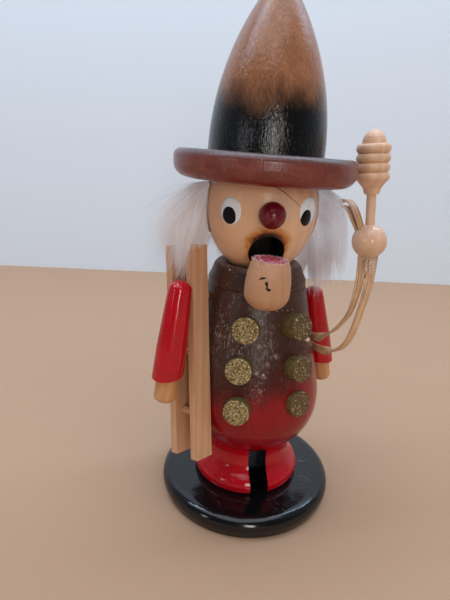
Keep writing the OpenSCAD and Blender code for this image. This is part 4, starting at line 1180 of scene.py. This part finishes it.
class SMOKER_OT_pipe(bpy.types.Operator):
    """Pipe bowl with its glitter ember, and the stem"""

    bl_idname = "smoker.pipe"
    bl_label = "Pipe"

    def execute(self, context):
        finishes = context.scene.smoker_finishes
        base = (*finishes.bowl_wood, 1)
        made, tree, shader, tone = wood(
            "Lime wood, matt varnished bowl", base, size=0.8, gloss=0.12, contrast=0.45, rings=2.4
        )
        high = add(tree, "SeparateXYZ", measured(tree)).outputs["Z"]
        chalk = add(
            tree, "Math MULTIPLY", cloudy(tree, (0.5, 0.5, 0.5), 0.56, 0.68, 3),
            add(tree, "MapRange SMOOTHSTEP", high, 93, 97.2),
        )
        tone = layered(tree, tone, ("#E3C9B4", chalk, 0.55))
        feed(shader, {"Base Color": tone})
        dress("pipe_bowl", made)
        stem, *_ = wood("Beech stick, clear varnished", "#B98A5E", size=0.6)
        dress("pipe_stem", stem)

        red = (*finishes.ember_red, 1)
        # Glitter in red varnish: grains of 0.3 mm, some clear, some pink
        coals, tree, shader = finish(
            "Red glitter varnish, grained",
            {"Base Color": red, "Roughness": 0.42, "IOR": 1.5, "Coat Weight": 0.3, "Coat Roughness": 0.25},
        )
        mix = cloudy(tree, (0.7, 0.7, 0.7), 0.35, 0.65, 3)
        tone = layered(
            tree,
            red,
            ("#9A2E40", mix),
            ("#E2A9AE", cloudy(tree, (0.4, 0.4, 0.4), 0.6, 0.7, 2), 0.7),
        )
        feed(shader, {
            "Base Color": tone, "Normal": add(tree, "Bump", {"Height": mix, "Distance": 0.2 * MM})
        })
        pale, tree, shader = finish("Clear glitter grains", {
            "Base Color": rgba("#D9B4B4"), "Roughness": 0.3, "IOR": 1.5
        })
        feed(shader, {"Base Color": layered(tree, "#EBCFCC", ("#C98088", cloudy(tree, (0.6, 0.6, 0.6))))})
        heap = [
            (0.02, 13.95), (3.6, 14.05), (4.3, 14.4), (4.75, 14.8), (4.3, 15.15), (3.0, 15.45),
            (1.4, 15.62), (0.02, 15.66),
        ]
        ember = turned("ember_heap", heap, BOWL_PLACE, UPPER, "pipe_wood", coals, 40, 0.05, 4)
        for v in ember.data.vertices:
            local = BOWL_PLACE.inverted() @ (v.co / MM)
            if local.z > 14.6:
                local.z += 0.22 * noise.noise(local * 1.6)
                v.co = (BOWL_PLACE @ local) * MM
        rng = np.random.default_rng(21)
        # clear grains have gathered along the bowl's lip, where they look like frost
        for name, made, count, inner, outer in (
            ("ember_grains_red", coals, 170, 0, 4.9), ("ember_grains_pale", pale, 230, 3.2, 5.7),
        ):
            points, faces = [], []
            for _ in range(count):
                r, a = math.sqrt(rng.uniform(inner**2, outer**2)), rng.uniform(0, 2 * math.pi)
                level = 15.6 - 0.028 * r * r if r < 4.6 else 15.02
                middle = Vector((r * math.cos(a), r * math.sin(a), level + rng.uniform(-0.05, 0.12)))
                size = rng.uniform(0.14, 0.3)
                spin = Euler(rng.uniform(0, 6.28, 3)).to_matrix()
                corners = [(1, 0, 0), (-1, 0, 0), (0, 1, 0), (0, -1, 0), (0, 0, 0.7), (0, 0, -0.7)]
                n = len(points)
                points += [
                    BOWL_PLACE @ (middle + spin @ (Vector(c) * size * rng.uniform(0.7, 1.2)))
                    for c in corners
                ]
                ring = (0, 2), (2, 1), (1, 3), (3, 0)
                faces += [[n + a, n + b, n + 4] for a, b in ring] + [[n + b, n + a, n + 5] for a, b in ring]
            grains = piece(name, points, faces, UPPER, "pipe_wood", made)
            grains.data.polygons.foreach_set("use_smooth", [False] * len(grains.data.polygons))

        # Char flecks: two small burnt chips on the front of the bowl
        char, tree, shader = finish("Charred wood, chipped", {
            "Base Color": rgba("#0C0908"), "Roughness": 0.75
        })
        crust = cloudy(tree, (0.3, 0.3, 0.3), 0.3, 0.7, 3)
        feed(shader, {
            "Base Color": layered(tree, "#080606", ("#2A1A12", crust)),
            "Normal": add(tree, "Bump", {"Height": crust, "Distance": 0.08 * MM}),
        })
        surface = tree_of("pipe_bowl")
        middle = BOWL_PLACE @ Vector((0, 0, 8))
        for k, (at, wide, high_, tilt) in enumerate((
            ((-7.98, -32.04, 93.61), 0.95, 0.3, 0.35),
            ((-6.9, -32.7, 92.0), 0.38, 0.85, 0.25),
            ((-6.5, -33.2, 90.6), 0.75, 0.45, -0.5),
        )):
            out = Vector((at[0] - middle.x, at[1] - middle.y, 0))
            patch(
                f"char_fleck_{k + 1}", surface, at, out, wide, high_, UPPER, "pipe_wood", char, 0.05, tilt,
                0.7, 11 + k,
            )
        return {"FINISHED"}


# Buttons


class SMOKER_OT_buttons(bpy.types.Operator):
    """Six sawn dowel plugs with bronze paint on their faces"""

    bl_idname = "smoker.buttons"
    bl_label = "Buttons"

    def execute(self, context):
        gold = (*context.scene.smoker_finishes.gold, 1)
        # Bronze paint is metal flake in varnish: it glints in grains and stays dull between them
        faces = {}
        # painted shade: the figure's left row is a darker copy of the same bronze paint, for faces turned away
        # from the light
        for side, paint, pit in (("right", gold, "#6A5230"), ("left", rgba("#846A46"), "#604A30")):
            face, tree, shader = finish(
                f"Gold bronze paint, {side} row", {"Base Color": paint, "Metallic": 0.5, "Roughness": 0.48}
            )
            flake = cloudy(tree, (0.55, 0.55, 0.55), 0.4, 0.6, 3)
            pits = cloudy(tree, (0.8, 0.8, 0.8), 0.6, 0.7, 3)
            tone = layered(
                tree,
                rgba(pit),
                (paint, flake, 0.8),
                ("#E4D7A8", cloudy(tree, (0.7, 0.7, 0.7), 0.58, 0.68, 1), 0.7),
                ("#4A3822", pits, 0.75),
            )
            feed(shader, {
                "Base Color": tone,
                "Normal": add(tree, "Bump", {
                    "Height": add(tree, "Math SUBTRACT", flake, pits), "Distance": 0.1 * MM
                }),
            })
            faces[side] = face
        rim, tree, shader = finish("Gold bronze paint, thin on the rim", {
            "Base Color": rgba("#6E5A34"), "Metallic": 0.35, "Roughness": 0.5
        })
        thin = cloudy(tree, (1.3, 1.3, 1.3), 0.35, 0.7, 3)
        feed(shader, {
            "Base Color": layered(tree, "#7A683C", ("#5E4B2C", thin)),
            "Normal": add(tree, "Bump", {"Height": thin, "Distance": 0.05 * MM}),
        })
        # each button as it was set: degrees off its row, height, and how far it stands out
        settings = {
            "right": ((0.5, 0, 3.2), (1.5, 0, 3.2), (-1.0, 0, 3.2)),
            "left": ((-1.2, 0.8, 2.0), (-1.0, -0.2, 4.0), (-1.0, 0.6, 4.8)),
        }
        for side, sign in (("right", -1), ("left", 1)):
            for row, level in enumerate(("low", "mid", "high")):
                drift, lift, out = settings[side][row]
                z = 46.2 + 13.2 * row + lift
                r, slope = chest(z)
                place = (
                    Matrix.Rotation(math.radians(sign * (24.5 + drift) - 90), 4, "Z")
                    @ Matrix.Translation((r, 0, z))
                    @ Matrix.Rotation(-slope, 4, "Y")
                    @ Matrix.Rotation(math.radians(90), 4, "Y")
                )
                edge = 0.22
                outline = [
                    (0.02, -1.3), (4.38, -1.3), (4.4, 0.6), (4.4, out - edge),
                    (4.4 - edge * 0.35, out - edge * 0.3), (4.4 - edge, out), (2.6, out + 0.02),
                    (0.02, out),
                ]
                obj = turned(
                    f"button_plug_{side}_{level}", outline, place, UPPER, "button_gold", [faces[side], rim],
                    56, 0.012, row + (3 if sign > 0 else 0),
                    faces_of=lambda p, n: 0 if 4 * n <= p.index < 7 * n or p.index == 7 * n + 1 else 1,
                )
                # sawn faces are never quite flat, and the rim is chipped here and there
                back = place.inverted()
                for v in obj.data.vertices:
                    local = back @ (v.co / MM)
                    if local.z > out - 0.4:
                        local.z += 0.05 * noise.noise(local * 0.6 + Vector((row * 9, sign * 5, 0)))
                        chip = noise.noise(Vector((local.x * 0.9, local.y * 0.9, row * 4 + sign)))
                        if math.hypot(local.x, local.y) > 4 and chip > 0.28:
                            local.z -= (chip - 0.28) * 1.2
                        v.co = (place @ local) * MM
                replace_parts(obj, f"button_{side}_{level}")
        return {"FINISHED"}


# Arms


def along(start, end):
    """Turn that carries +Z onto the line from start to end, as the source does it."""
    d = end - start
    return Euler((0, math.atan2(math.hypot(d.x, d.y), d.z), math.atan2(d.y, d.x)))


class SMOKER_OT_arms(bpy.types.Operator):
    """Lacquered sleeves and the dowel hands"""

    bl_idname = "smoker.arms"
    bl_label = "Arms"

    def execute(self, context):
        red = (*context.scene.smoker_finishes.lacquer_red, 1)
        for side, (start, end) in SLEEVES.items():
            turn = along(start, end)
            dress(f"sleeve_{side}", red_lacquer(f"Red gloss lacquer, {side} sleeve", red, start, turn))
            made, *_ = wood(
                f"Beech dowel, varnished {side} hand", "#C48D5D", 0.8, start, turn, 0.3, 0.8, 2.2
            )
            dress(f"hand_{side}", made)
        return {"FINISHED"}


# Ladder


class SMOKER_OT_ladder(bpy.types.Operator):
    """Pine ladder with its grain along the rails"""

    bl_idname = "smoker.ladder"
    bl_label = "Ladder"

    def execute(self, context):
        base = (*context.scene.smoker_finishes.ladder_wood, 1)
        for k, node in enumerate(("ladder_rail_front", "ladder_rail_rear")):
            shifted = [c + 37 * k for c in LADDER_FOOT]
            made, *_ = wood(
                f"Pine rail, planed and varnished {k + 1}", base, 1.0, shifted, LADDER_TURN, 0.3, 0.8, 1.1
            )
            dress(node, made)
        lying = (LADDER_TURN.to_matrix() @ Matrix.Rotation(math.radians(90), 3, "Y")).to_euler()
        made, *_ = wood("Beech rung, varnished", base, 0.5, LADDER_FOOT, lying, 0.25, 0.9)
        for node in ("ladder_rung_low", "ladder_rung_mid", "ladder_rung_high"):
            dress(node, made)
        return {"FINISHED"}


# Brush, ball and cane


class SMOKER_OT_brush(bpy.types.Operator):
    """Turned brush, its stick and the ball"""

    bl_idname = "smoker.brush"
    bl_label = "Brush and ball"

    def execute(self, context):
        base = (*context.scene.smoker_finishes.brush_wood, 1)
        made, *_ = wood("Beech, turned and varnished brush", base, 0.9, BALL_AT, BRUSH_TURN, 0.3, 0.7, 2.0)
        dress("brush_head", made)
        made, *_ = wood("Beech stick, varnished", base, 0.5, BALL_AT, BRUSH_TURN, 0.35, 0.7, 1.2)
        dress("brush_stick", made)
        made, _, shader, _ = wood(
            "Beech ball, gloss varnished", base, 1.0, BALL_AT, Euler((1.2, 0.3, 0)), 0.8, 0.6, 2.6
        )
        shader.inputs["Coat Roughness"].default_value = 0.06
        dress("sweep_ball", made)
        return {"FINISHED"}


FRONT = (-0.29, -0.95, 0)
ROUTE_INNER = (
    ((36.3, -6.9, 95.4), FRONT), ((36.3, -7, 92.4), FRONT), ((35.2, -8.6, 84), (0.1, -1, 0)),
    ((33, -9.8, 75.5), (0.5, -0.85, 0)), ((30, -10, 70.4), (0.6, -0.8, -0.2)),
    ((26.2, -9, 66.2), (0.75, -0.6, -0.1)), ((23.3, -6.5, 63.7), (0.93, -0.35, 0.1)),
    ((22.1, -2.7, 62.6), (1, -0.1, 0.21)), ((22.2, 2.5, 62.4), (1, 0.1, 0.21)),
    ((21.2, 7.8, 63.5), (0.94, 0.3, 0.2)), ((20.6, 13.2, 68), (0.8, 0.6, 0.1)),
    ((21, 17, 75), (0.6, 0.8, 0)), ((24.2, 18.2, 85), (0.3, 0.95, 0)), ((27.8, 16, 95.5), (0.1, 0.9, 0.4)),
    ((30.2, 11.4, 104.2), (0.1, 0.7, 0.7)), ((31.4, 5.6, 109.3), (0.1, 0.35, 0.93)),
    ((32.2, 0.6, 109.7), (0.1, -0.3, 0.95)), ((33, -2.9, 106.5), (0.2, -0.7, 0.68)),
    ((34.5, -5.3, 101.9), (0.3, -0.6, 0.72)),
)
ROUTE_OUTER = (
    ((39.5, -7.9, 95.4), FRONT), ((39.5, -8, 92.4), FRONT), ((38.3, -9.8, 84), (0.1, -1, 0)),
    ((35.6, -11.6, 75), (0.2, -0.98, 0)), ((33, -12.4, 66.8), (0.15, -0.98, -0.1)),
    ((30.3, -12.2, 62), (0.4, -0.9, -0.25)), ((27, -10.4, 59.6), (0.75, -0.65, -0.1)),
    ((24.4, -6.9, 58.8), (0.93, -0.35, 0.1)), ((23.1, -2.8, 58.6), (1, -0.1, 0.21)),
    ((23.2, 2.6, 58.6), (1, 0.1, 0.21)), ((22.2, 8.4, 59.4), (0.94, 0.3, 0.2)),
    ((21.6, 14.8, 63), (0.8, 0.6, 0.1)), ((21.8, 20, 71), (0.6, 0.8, 0)),
    ((25.2, 22, 82.5), (0.3, 0.95, 0)), ((28.6, 20, 95), (0.1, 0.9, 0.4)), ((31, 14, 106), (0.1, 0.7, 0.7)),
    ((32.2, 7, 111.3), (0.1, 0.35, 0.93)), ((32.8, 0.6, 111.9), (0.1, -0.3, 0.95)),
    ((33.6, -3.8, 108.2), (0.2, -0.7, 0.68)), ((34.9, -6.1, 102.9), (0.3, -0.6, 0.72)),
)


class SMOKER_OT_cane(bpy.types.Operator):
    """Two strands of flat rattan, ribbed along their length"""

    bl_idname = "smoker.cane"
    bl_label = "Cane"

    def execute(self, context):
        base = (*context.scene.smoker_finishes.cane_skin, 1)
        # Rattan skin is smooth and glossy, split lengthwise; its colour runs in long straw and brown fibres
        made, tree, shader = finish(
            "Rattan cane, natural skin",
            {"Base Color": base, "Roughness": 0.36, "IOR": 1.5, "Coat Weight": 0.4, "Coat Roughness": 0.2},
        )
        along_strand = add(tree, "Attribute", attribute_name="strand_place")
        lanes = add(tree, "TexNoise", {
            "Vector": along_strand.outputs["Vector"], "Scale": 1.0, "Detail": 3.0
        })
        fibre = add(tree, "MapRange SMOOTHSTEP", lanes.outputs["Fac"], 0.35, 0.66)
        blotch = cloudy(tree, (3, 3, 6), 0.35, 0.7, 3)
        tone = layered(
            tree,
            (base[0] * 1.2, base[1] * 1.2, base[2] * 1.15, 1),
            ((base[0] * 0.62, base[1] * 0.54, base[2] * 0.46, 1), fibre),
            ("#8A5F3E", blotch, 0.3),
        )
        feed(shader, {
            "Base Color": tone, "Normal": add(tree, "Bump", {"Height": fibre, "Distance": 0.05 * MM})
        })
        width, thick = 3.3, 0.9
        # the section's upper face carries three ribs
        section = []
        for i in range(13):
            s = -0.5 + i / 12
            edge = min(1.0, (0.5 - abs(s)) / 0.07)
            section.append((s, (0.36 + 0.1 * math.cos(2 * math.pi * s * 3)) * math.sqrt(max(edge, 0.05))))
        section += [(0.44, -0.42), (0.2, -0.48), (0, -0.46), (-0.2, -0.48), (-0.44, -0.42)]
        for name, node, route in (
            ("cane_strand_inner", "cane_inner", ROUTE_INNER),
            ("cane_strand_outer", "cane_outer", ROUTE_OUTER),
        ):
            line = smooth_curve([p for p, _ in route], 8)
            facing = smooth_curve([n for _, n in route], 8)
            ahead = np.gradient(line, axis=0)
            ahead /= np.linalg.norm(ahead, axis=1, keepdims=True)
            side = np.cross(ahead, facing)
            side /= np.linalg.norm(side, axis=1, keepdims=True)
            over = np.cross(side, ahead)
            run = np.concatenate([[0], np.cumsum(np.linalg.norm(np.diff(line, axis=0), axis=1))])
            points, faces, marks, m = [], [], [], len(section)
            for k, p in enumerate(line):
                spread = 1.1 - 0.1 * min(1, run[k] / 26)
                for s, t in section:
                    points.append(p + side[k] * s * width * spread + over[k] * t * thick)
                    marks.append((s * width / 0.32, t * 2, run[k] / 16))
            for k in range(len(line) - 1):
                faces += [
                    (k * m + j, k * m + (j + 1) % m, (k + 1) * m + (j + 1) % m, (k + 1) * m + j)
                    for j in range(m)
                ]
            faces += [[j for j in reversed(range(m))], [(len(line) - 1) * m + j for j in range(m)]]
            obj = piece(name, points, faces, UPPER, "cane_rattan", made, flat_above=50)
            place = obj.data.attributes.new("strand_place", "FLOAT_VECTOR", "POINT")
            place.data.foreach_set("vector", np.array(marks, np.float32).ravel())
            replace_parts(obj, node)
        return {"FINISHED"}


# Stage


class SMOKER_OT_stage(bpy.types.Operator):
    """Plain pale floor, soft window light and the camera of the photograph"""

    bl_idname = "smoker.stage"
    bl_label = "Stage"

    def execute(self, context):
        stage = context.scene.smoker_stage
        scene = context.scene
        scene.view_settings.view_transform = "Standard"
        # pale room: bright behind the figure and overhead, darker on the side where the photographer stands
        world = bpy.data.worlds.new("Pale room")
        world.use_nodes = True
        tree = world.node_tree
        ahead = add(
            tree, "VectorMath DOT_PRODUCT", add(tree, "TexCoord").outputs["Generated"], (0.225, 0.974, 0)
        )
        room = add(
            tree, "Math MULTIPLY", add(tree, "MapRange SMOOTHSTEP", ahead.outputs["Value"], -0.7, 0.2), 0.2
        )
        behind = add(
            tree, "Math MULTIPLY", add(tree, "MapRange SMOOTHSTEP", ahead.outputs["Value"], 0.46, 0.6), 0.62
        )
        power = add(
            tree,
            "Math MULTIPLY",
            add(
                tree, "Math ADD", add(tree, "Math ADD", room, behind, use_clamp=True), 0.08, use_clamp=True
            ),
            stage.sky,
        )
        back = tree.nodes["Background"]
        feed(back, {"Color": rgba("#DCE4EC"), "Strength": power})
        scene.world = world
        away = Matrix.Rotation(math.radians(-13), 4, "Z")
        for name, code, corners in (
            ("stage_floor", "#B39073", ((-3, -3, 0), (3, -3, 0), (3, 3, 0), (-3, 3, 0))),
            ("stage_wall", "#E2EAF0", ((-2, 0.32, -0.01), (2, 0.32, -0.01), (2, 0.32, 1.6), (-2, 0.32, 1.6))),
        ):
            made, tree, shader = finish("Matt pale paint, " + name[6:], {
                "Base Color": rgba(code), "Roughness": 0.9
            })
            mesh = bpy.data.meshes.new(name)
            mesh.from_pydata([away @ Vector(c) for c in corners], [], [(0, 1, 2, 3)])
            sheet = bpy.data.objects.new(name, mesh)
            mesh.materials.append(made)
            scene.collection.objects.link(sheet)
        for name, at, size, power, tint in (
            ("window_light", (-0.14, -1.3, 0.3), (0.2, 0.5), stage.key * 0.7, "#FFF9F2"),
            ("side_window_light", (-1.13, -0.65, 0.3), (0.12, 0.3), stage.key * 0.14, "#F4F8FF"),
            ("fill_light", (0.5, -1.0, 0.9), (1.2, 1.2), stage.key * 1.2, "#F4F8FF"),
            ("ceiling_light", (-0.2, -0.15, 1.3), (1.4, 1.4), stage.key * 2.4, "#F0F5FF"),
            ("wall_light", (0, 0.1, 0.75), (1.6, 0.1), stage.key * 1.15, "#C4DEFF"),
        ):
            light = bpy.data.lights.new(name, "AREA")
            light.shape, light.size, light.size_y = "RECTANGLE", *size
            light.energy = power
            light.color = linear(tint)
            lamp = bpy.data.objects.new(name, light)
            lamp.location = at
            aim = Vector((0, 0.4, 0.25)) if name == "wall_light" else Vector((0, 0, 0.09))
            lamp.rotation_euler = (aim - Vector(at)).to_track_quat("-Z", "Y").to_euler()
            # the fill stands for the room's bounced light, which leaves no reflection of its own
            lamp.visible_glossy = name != "fill_light"
            scene.collection.objects.link(lamp)

        # the camera that was fitted to the turned outlines in the photograph
        azimuth, pitch, roll, yaw = (math.radians(a) for a in (-17, 18.08, 2.51, 4.03))
        distance, height = 0.15575, 0.12667
        place = Vector((math.sin(azimuth) * distance, -math.cos(azimuth) * distance, height))
        y = azimuth + yaw
        ahead = Vector((-math.sin(y) * math.cos(pitch), math.cos(y) * math.cos(pitch), -math.sin(pitch)))
        right = Vector((math.cos(y), math.sin(y), 0))
        up = right.cross(ahead)
        right, up = (
            right * math.cos(roll) + up * math.sin(roll), -right * math.sin(roll) + up * math.cos(roll)
        )
        lens = bpy.data.cameras.new("phone_camera")
        lens.sensor_fit, lens.sensor_height, lens.sensor_width = "VERTICAL", 24, 18
        lens.lens = stage.lens
        lens.clip_start, lens.clip_end = 0.01, 20
        camera = bpy.data.objects.new("phone_camera", lens)
        camera.matrix_world = Matrix(
            [[right[i], up[i], -ahead[i], place[i]] for i in range(3)] + [[0, 0, 0, 1]]
        )
        scene.collection.objects.link(camera)
        scene.camera = camera
        return {"FINISHED"}


STEPS = (
    SMOKER_OT_stage, SMOKER_OT_base, SMOKER_OT_legs, SMOKER_OT_coat, SMOKER_OT_head, SMOKER_OT_hat,
    SMOKER_OT_hair, SMOKER_OT_pipe, SMOKER_OT_buttons, SMOKER_OT_arms, SMOKER_OT_ladder, SMOKER_OT_brush,
    SMOKER_OT_cane,
)
GROUPS = {
    "smoker_finishes": SmokerFinishes,
    "smoker_fur": SmokerFur,
    "smoker_face": SmokerFace,
    "smoker_stage": SmokerStage,
}


class SMOKER_PT_sidebar(bpy.types.Panel):
    """Lists the steps and their settings"""

    bl_idname = "SMOKER_PT_sidebar"
    bl_label = "Chimney sweep smoker"
    bl_space_type = "VIEW_3D"
    bl_region_type = "UI"
    bl_category = "Smoker"

    def draw(self, context):
        for step in STEPS:
            self.layout.operator(step.bl_idname)
        for name, group in GROUPS.items():
            box = self.layout.box()
            for key in group.__annotations__:
                box.prop(getattr(context.scene, name), key)


def register():
    for made in (*GROUPS.values(), *STEPS, SMOKER_PT_sidebar):
        bpy.utils.register_class(made)
    for name, group in GROUPS.items():
        setattr(bpy.types.Scene, name, PointerProperty(type=group))


def unregister():
    for name in GROUPS:
        delattr(bpy.types.Scene, name)
    for made in (SMOKER_PT_sidebar, *reversed(STEPS), *reversed(list(GROUPS.values()))):
        bpy.utils.unregister_class(made)


def main():
    register()
    for step in STEPS:
        group, name = step.bl_idname.split(".")
        getattr(getattr(bpy.ops, group), name)()


if __name__ == "__main__":
    main()
